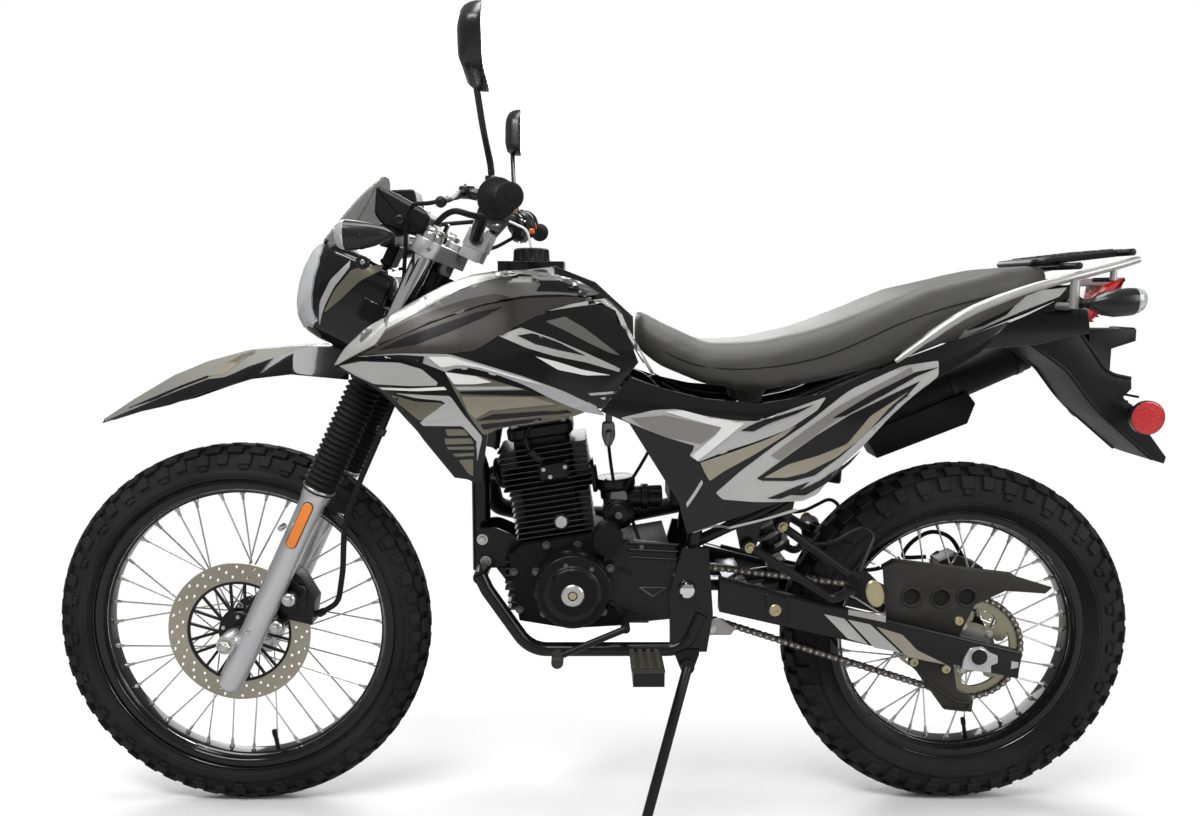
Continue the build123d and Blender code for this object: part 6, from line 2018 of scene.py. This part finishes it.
s.lathe(SPEEDO, DASH_UP, [(2.2, 3.6), (4.4, 3.6), (5, 2.6)], 20)
s.make("instrument_pod",
       ["plastic_black", "signal_black", "dial_face", "screen_grey", "graphic_white", "reflector_orange"],
       "steering", replaces=["instruments"], angle=35)

# ================= signals and reflectors =================
SIGNAL_X, SIGNAL_Z = 378.0, 1056.0
# housing and lens, each ring: ahead of the stalk, distance across, half width, half height, lift
FRONT_SIGNAL = (
    ((-40, 190, 2, 1.2, 2), (-36, 190, 8, 5, 2), (-24, 191, 15, 12, 2), (-8, 193, 21, 18, 1),
     (10, 195, 25, 22, 0), (26, 197, 27, 24, 0), (34, 198, 27.5, 24.5, 0)),
    ((34.2, 198, 27, 24, 0), (40, 198, 26, 23, 0), (46, 198.5, 22, 20, 0), (50, 199, 15, 13, 0),
     (51.8, 199, 6, 5, 0)),
)


def front_signal(side_name, sign):
    """Stalk with its ribs, housing and lens."""
    s = Shape()
    s.tube([(SIGNAL_X, sign * 72.3, SIGNAL_Z), (SIGNAL_X, sign * 120, SIGNAL_Z),
            (SIGNAL_X + 2, sign * 172, SIGNAL_Z)], 7, 18, radii=[10, 7.5, 10], flat=0.9)
    for k in range(4):
        y = 76 + k * 7
        s.across(SIGNAL_X, SIGNAL_Z, [(y, 9.6), (y + 1, 10.8), (y + 4, 10.8), (y + 5, 9.6)], 24, sign)
    for s.tag, rows in enumerate(FRONT_SIGNAL):
        s.loft([signal_ring(SIGNAL_X + x, y, SIGNAL_Z + lift, half_y, half_z, sign)
                for x, y, half_y, half_z, lift in rows])
    s.tag = 0
    s.cyl((SIGNAL_X + 8, sign * 219, SIGNAL_Z - 2), (SIGNAL_X + 8, sign * 222, SIGNAL_Z - 2), 3.2, seg=16,
          edge=0.8)
    s.make("front_signal_" + side_name, ["signal_black", "signal_lens"], "steering",
           replaces=left_of("front_signals", sign), angle=38)


def fork_reflector(side_name, sign):
    """Long reflector with round ends, on its bracket beside the leg."""
    s = Shape()
    loop = []
    for i in range(40):
        a = 2 * pi * i / 40
        w = 292 if sin(a) > 0 else 222
        loop.append((LEG_U + 10 * cos(a), w + 10 * sin(a)))

    def place(a, b, h):
        return on_steer(a, sign * h, b)

    s.tag = 1
    s.prism(loop, place, 118.0, 120.0, 0.6)
    s.tag = 0
    s.prism(inset(loop, 1.4), place, 119.8, 122.2, 1.2)
    s.tag = 1
    s.steer_box((LEG_U - 6, sign * 112, 250), (LEG_U + 6, sign * 119, 264), 1)
    s.make("fork_reflector_" + side_name, ["reflector_orange", "signal_black"], "steering", angle=35)


for side_name, sign in SIDES:
    front_signal(side_name, sign)
    fork_reflector(side_name, sign)

# ================= front brake =================
rounded("front_caliper_body", "front_caliper", 4, 3, "satin_black", angle=25)
s = Shape()
outline = [Vector(p) for p in ((582, 484), (545, 456), (521, 412), (528, 366), (588, 380), (612, 430))]
mid = sum(outline, Vector((0, 0))) / len(outline)
s.slab(smooth_outline([mid + (p - mid) * 0.72 for p in outline], 4, 0.3), 69, 75, 2.5)
for x, z in ((548, 428), (566, 402)):
    s.across(x, z, [(73, 15), (78, 15), (79.5, 13), (79.5, 5)], 32)
s.tag = 1
for w in (62, 118):
    lug = on_steer(LEG_U - 33.3, 0, w)
    s.across(lug.x, lug.z, [(88, 8), (88, 12), (104, 12), (106, 10), (106, 6)], 32)
    s.bolt((lug.x, 106, lug.z), Y, 7, 6, False)
s.across(557, 561, [(112, 5), (132, 5), (134, 4)], 20)
s.bolt(on_steer(-45, 62, 92), Y, 6, 5)
s.make("front_caliper_fittings", ["satin_black", "zinc"], "steering", angle=35)
s = Shape()
for w, y in ((470, 122), (300, 124)):
    s.lathe(on_steer(-35, y, w), STEER_W, [(-6, 5.2), (-6, 7.2), (6, 7.2), (6, 5.2)], 20, closed=True)
    s.steer_box((-36, y - 16, w - 5), (-22, y - 4, w + 5), 1.5)
s.make("hose_clips", "signal_black", "steering")

# ================= lamp, cowl and screen trim =================
COWL_X, COWL_Z = 413, 1017
s = Shape()
for sign in (1, -1):
    s.tag = 0
    s.across(COWL_X, COWL_Z, [(76, 12), (93, 12), (95, 10), (95, 6), (92, 5)], 28, sign)
    s.tag = 1
    s.across(COWL_X, COWL_Z, [(88, 4.5), (94.2, 4.5), (95, 3.5), (95, 2)], 18, sign)
s.make("cowl_bolts", ["signal_black", "zinc"], "steering")
s = Shape()
for sign in (1, -1):
    for w, y in ((716, 52), (760, 60)):
        s.lathe(on_screen(sign * y, w), (STEER_U + Y * sign * 0.45).normalized(),
                [(-3, 4), (1.5, 6), (3, 5), (3.4, 2)], 18)
s.make("screen_screws", "signal_black", "steering")


# ================= swing arm and its guards =================
rounded("swingarm_shell", "swingarm", 4, 3, "frame_black", angle=25)
for name, finish, lift, outline in ARM_STRIPES:
    skin(name, outline, Flat(124.0), lift, finish, "chassis", share=0.04)


def swingarm_fittings():
    """Edge beads, side plates, end plates and the chain adjusters."""
    s = Shape()
    badge = smooth_outline([(-284, 444), (-322, 436), (-326, 388), (-290, 394)], 3, 0.2)
    end_plate = smooth_outline([(-639, 304), (-642, 323), (-652, 343), (-674, 346), (-689, 334), (-702, 329),
                                (-703, 315), (-691, 311), (-692, 297)], 3, 0.2)
    for sign in (1, -1):
        y = sign * 120
        s.tag = 0
        s.tube([(-208, y, 463), (-470, y, 398), (-738, y, 332)], 5, 12, smooth=False)
        s.tube([(-208, y, 414), (-470, y, 352), (-736, y, 290)], 4, 12, smooth=False)
        s.slab(badge, sign * 123, sign * 127, 1)
        s.tag = 1
        s.across(-303, 413, [(126, 11), (128.5, 11), (130, 9.5), (130, 4.5), (128, 4)], 32, sign)
        s.tag = 2
        s.slab(end_plate, sign * 123.6, sign * 127.6, 0.8)
        s.across(REAR.x, REAR.z, [(126, 15.5), (129.5, 15.5), (131.4, 13), (131.8, 8), (130, 7)], 40, sign)
        s.slab([(-728, 303), (-741, 306), (-741, 316), (-728, 318)], sign * 116, sign * 126, 1)
        s.cyl((-690, sign * 112, 320), (-741, sign * 112, 309), 4.5, seg=16, edge=1)
        s.lathe(Vector((-744, sign * 112, 308.5)), X, [(-4, 6), (2, 8), (3, 8)], 6)
    s.make("swingarm_fittings", ["frame_black", "brass", "paint_silver"], "chassis", angle=35)


def guard_rims():
    """Rims of the chain guard's holes, its screws, and the wire guard below it."""
    s = Shape()
    for x, z in ((-553, 428), (-606, 426), (-652, 428)):
        s.tag = 0
        s.across(x, z, [(99, 15.2), (101.4, 15.8), (102.2, 17), (101.4, 18.4), (99.6, 19)], 40, closed=True)
        s.tag = 2
        s.across(x, z, [(95.6, 2), (95.6, 14.8), (96.6, 14.8), (96.6, 13)], 32)
    s.tag = 1
    for x, z in ((-562, 307), (-621, 294), (-640, 384)):
        s.across(x, z, [(99, 9), (101.5, 9), (103.5, 7.5), (103.8, 3.8), (101.5, 3.4)], 28)
    s.tag = 0
    s.slab([(-553, 309), (-565, 345), (-640, 330), (-638, 324), (-572, 338), (-560, 306)], 99, 101.5, 0.8)
    s.tube([(-553, 101, 306), (-600, 101, 262), (-640, 101, 232), (-670, 101, 229), (-664, 101, 214),
            (-622, 101, 219)], 2.2, 8)
    s.make("guard_rims", ["guard_satin", "brass", "matte_black"], "chassis", angle=40)


def chain_roller_bracket():
    s = Shape()
    s.slab(smooth_outline([(-176, 380), (-210, 390), (-238, 369), (-230, 357), (-193, 357), (-178, 350)], 3,
                          0.2),
           96, 100, 1)
    s.tag = 1
    s.bolt((-196, 100, 369), Y, 5, 4)
    s.make("chain_roller_bracket", ["cast_alloy", "zinc"], "chassis", angle=35)


swingarm_fittings()
rounded("chain_guard_body", "chain_guard", 2.2, 2, "guard_satin", angle=30)
guard_rims()
chain_roller_bracket()

# ================= rear brake and shock =================
SHOCK_LOW, SHOCK_HIGH = Vector((-328, 0, 474.5)), Vector((-252, 0, 696.4))
SPRING_TURNS, SPRING_RADIUS, SPRING_STEPS = 7.5, 27, 220


def rear_brake_hose():
    s = Shape()
    s.tube([(-640, -72, 452), (-592, -84, 446), (-612, -82, 480), (-650, -80, 504), (-690, -80, 492),
            (-713, -74, 452)], 4.2, 12)
    s.tube([(-592, -84, 446), (-560, -98, 420), (-470, -100, 410), (-300, -92, 452), (-236, -84, 470)], 4.2,
           12)
    s.tag = 1
    for x, z in ((-668, 446), (-706, 440)):
        s.across(x, z, [(86, 14), (90, 14), (92, 12), (92, 5)], 28, -1)
    s.across(-713, 448, [(66, 6), (84, 6), (86, 4)], 16, -1)
    s.make("rear_brake_hose", ["rubber_black", "zinc"], "chassis", angle=38)


def coil_over_shock():
    """Damper with its two spring seats, the coil and both eyes."""
    run = SHOCK_HIGH - SHOCK_LOW
    axis, length = run.normalized(), run.length
    ex, ey = frame_of(axis)
    s = Shape()
    s.lathe(SHOCK_LOW, axis, [(0, 10), (14, 12), (16, 32), (22, 33), (26, 30), (30, 21), (120, 21), (124, 12),
                              (length - 34, 11), (length - 32, 31), (length - 24, 33), (length - 20, 31),
                              (length - 16, 13), (length, 10)], 44)
    coil = []
    for i in range(SPRING_STEPS + 1):
        a = 2 * pi * SPRING_TURNS * i / SPRING_STEPS
        rise = 27 + (length - 62) * i / SPRING_STEPS
        coil.append(SHOCK_LOW + axis * rise + (ex * cos(a) + ey * sin(a)) * SPRING_RADIUS)
    s.tag = 1
    s.tube(coil, 5.2, 10, smooth=False)
    s.tag = 2
    for eye in (SHOCK_LOW, SHOCK_HIGH):
        s.cyl(eye - Y * 13, eye + Y * 13, 11, seg=28, edge=1.5)
        s.bolt(eye + Y * 13, Y, 7, 5)
    s.make("coil_over_shock", ["satin_black", "spring_grey", "zinc"], "chassis", replaces=["rear_shock"],
           angle=40)


rounded("rear_caliper_body", "rear_caliper", 4, 3, "satin_black", angle=25)
rear_brake_hose()
coil_over_shock()


# ================= peg hoops, hanger =================
def peg_hoops():
    """Hoops over the passenger's pegs with their bolts, and the silencer's hanger."""
    s = Shape()
    for sign in (1, -1):
        s.tube([(-352, sign * 124, 532), (-400, sign * 116, 530), (-456, sign * 112, 561),
                (-478, sign * 114, 545), (-450, sign * 140, 500), (-436, sign * 160, 478)], 3.6, 12)
        for x, z in ((-259, 521), (-317, 558)):
            s.tag = 1
            s.bolt((x, sign * 109.5, z), Y * sign, 6.5, 5)
            s.tag = 0
            s.across(x, z, [(101, 12), (108.5, 12), (109.5, 10)], 24, sign)
    s.slab(smooth_outline([(-430, 638), (-480, 634), (-478, 588), (-439, 595)], 4, 0.2), -146, -112, 4)
    s.tag = 1
    s.bolt((-456, -112, 611), Y, 7, 5)
    s.make("peg_hoops", ["satin_black", "brass"], "chassis", angle=38)


peg_hoops()

# ================= tail =================
# grab rail: place along the machine, distance across, height, radius
RAIL = ((-489, 150, 854, 4.5), (-520, 153, 878, 7), (-562, 153, 909, 9.6), (-600, 153, 934, 10.2),
        (-640, 152, 952, 9.8), (-702, 151, 975, 9.0), (-778, 149, 995, 8.4), (-850, 134, 1012, 8.0),
        (-905, 119, 1026, 7.0))
LAMP_SIDE = [(-840, 944), (-847, 908), (-905, 960), (-917, 998), (-880, 984)]
SIGNAL_REAR_X, SIGNAL_REAR_Z = -806.0, 952.0
# housing and lens, each ring: place along the machine, distance across, half width, half height, lift
REAR_SIGNAL = (
    ((-789, 184, 2, 2, 0), (-792, 184, 7, 6, 0), (-800, 184, 13, 12, 0), (-814, 185, 19, 19, 0),
     (-832, 185, 22, 22.5, 1), (-852, 186, 22, 23, 3), (-862, 186, 21, 22, 4)),
    ((-862.2, 186, 20.6, 21.6, 4), (-868, 186, 20, 20.5, 5), (-875, 186, 17, 17, 6), (-880, 186, 11, 11, 7),
     (-882, 186, 4, 4, 7)),
)


def grab_rail_bars():
    s = Shape()
    for sign in (1, -1):
        s.tag = 0
        s.tube([(x, sign * y, z) for x, y, z, r in RAIL], 8, 20, radii=[r for x, y, z, r in RAIL], flat=0.85)
        s.cyl((-785, sign * 149, 992), (-785, sign * 149, 942), 7.5, seg=24, edge=2)
        s.cyl((-785, sign * 149, 947), (-785, sign * 96.3, 947), 6.5, seg=20, edge=1)
        s.cyl((-858, sign * 131, 1012), (-858, sign * 131, 990), 5.5, seg=20, edge=1.5)
        s.tag = 1
        s.cyl((-858, sign * 131, 992), (-858, sign * 70, 992), 4, seg=16, edge=1)
        s.bolt((-785, sign * 149, 942), -Z, 5, 4)
    s.make("grab_rail_bars", ["rail_silver", "satin_black"], "chassis", replaces=["grab_rails"], angle=40)


def rack_ribs():
    """Rows of three rubber ribs on the sloping rack."""
    s = Shape()
    for k in range(8):
        x = -781 - k * 14.6
        z = 1031 - (x + 772) * 14 / 118
        for y0, y1 in ((-76, -36), (-24, 24), (36, 76)):
            s.box((x - 3, y0, z - 1.5), (x + 3, y1, z + 1.6), 1.2)
    s.make("rack_ribs", "rubber_black", "chassis")


def tail_lamp():
    """Lamp body with ribs across its lens."""
    s = Shape()
    s.slab(smooth_outline(LAMP_SIDE, 4, 0.12), -70, 70, 5)
    s.tag = 1
    for k in range(6):
        a = Vector((-850, 907)).lerp(Vector((-903, 957)), (k + 0.5) / 6)
        s.tube([(a.x - 0.5, -66, a.y + 0.5), (a.x - 0.5, 66, a.y + 0.5)], 1.6, 8, smooth=False)
    s.make("tail_lamp", ["reflector_red", "red_plastic"], "chassis", replaces=["rear_lamps"], angle=38)


def rear_signals():
    """Signals on their ribbed stalks, and the round reflectors beside the fender."""
    s = Shape()
    x0, z0 = SIGNAL_REAR_X, SIGNAL_REAR_Z
    for sign in (1, -1):
        s.tag = 0
        s.tube([(x0, sign * 96.3, z0), (x0, sign * 130, z0), (x0 - 4, sign * 168, z0)], 7, 18,
               radii=[9, 7.5, 11])
        for k in range(4):
            y = 100 + k * 7
            s.across(x0, z0, [(y, 9.4), (y + 1, 10.6), (y + 4, 10.6), (y + 5, 9.4)], 24, sign)
        for s.tag, rows in enumerate(REAR_SIGNAL):
            s.loft([signal_ring(x, y, z0 + lift, half_y, half_z, sign) for x, y, half_y, half_z,
                    lift in rows])
        s.tag = 2
        s.across(-948, 754, [(105, 4), (105, 29.4), (110.5, 29.4), (111.8, 28), (112, 26), (112, 4)], 56,
                 sign)
        s.tag = 0
        s.across(-948, 754, [(96, 6), (96, 24), (103, 29.9), (106, 30), (111, 30), (111, 28.6)], 56, sign)
        s.tube([(-948, sign * 40, 770), (-948, sign * 80, 760), (-948, sign * 98, 754)], 5, 12)
    s.make("rear_signals", ["signal_black", "signal_lens", "reflector_red"], "chassis", angle=38)


def plate_bracket():
    """Plate lamp, reflector, bracket, the fender's ribs and its stays."""
    s = Shape()
    for s.tag, (low, high, edge) in enumerate((((-962, -34, 884), (-946, 34, 908), 3),
                                               ((-926, -22, 838), (-918, 22, 862), 2),
                                               ((-944, -88, 786), (-940, 88, 790), 1))):
        s.box(low, high, edge)
    s.tag = 0
    for k in range(5):
        t = (k + 0.5) / 5
        s.box((-935 - 66 * t, -60, 785 - 104 * t), (-931 - 66 * t, 60, 789 - 104 * t), 1)
    for sign in (1, -1):
        s.tube([(-757, sign * 61, 880), (-800, sign * 62, 851), (-828, sign * 62, 830),
                (-880, sign * 62, 764), (-990, sign * 62, 673)], 3.5, 12)
        s.tube([(-846, sign * 61, 898), (-900, sign * 62, 827), (-941, sign * 62, 819)], 3, 12)
    s.make("plate_bracket", ["plastic_black", "reflector_red", "satin_black"], "chassis", angle=38)


grab_rail_bars()
rounded("rack_plate", "luggage_rack", 2, 2, "satin_black", angle=30)
rack_ribs()
rounded("rear_guard_shell", "rear_fender", 3, 3, "plastic_black", angle=25)
tail_lamp()
rear_signals()
plate_bracket()

# ================= stand =================
rounded("side_stand_leg", "side_stand", 1.6, 2, "satin_black", angle=35)
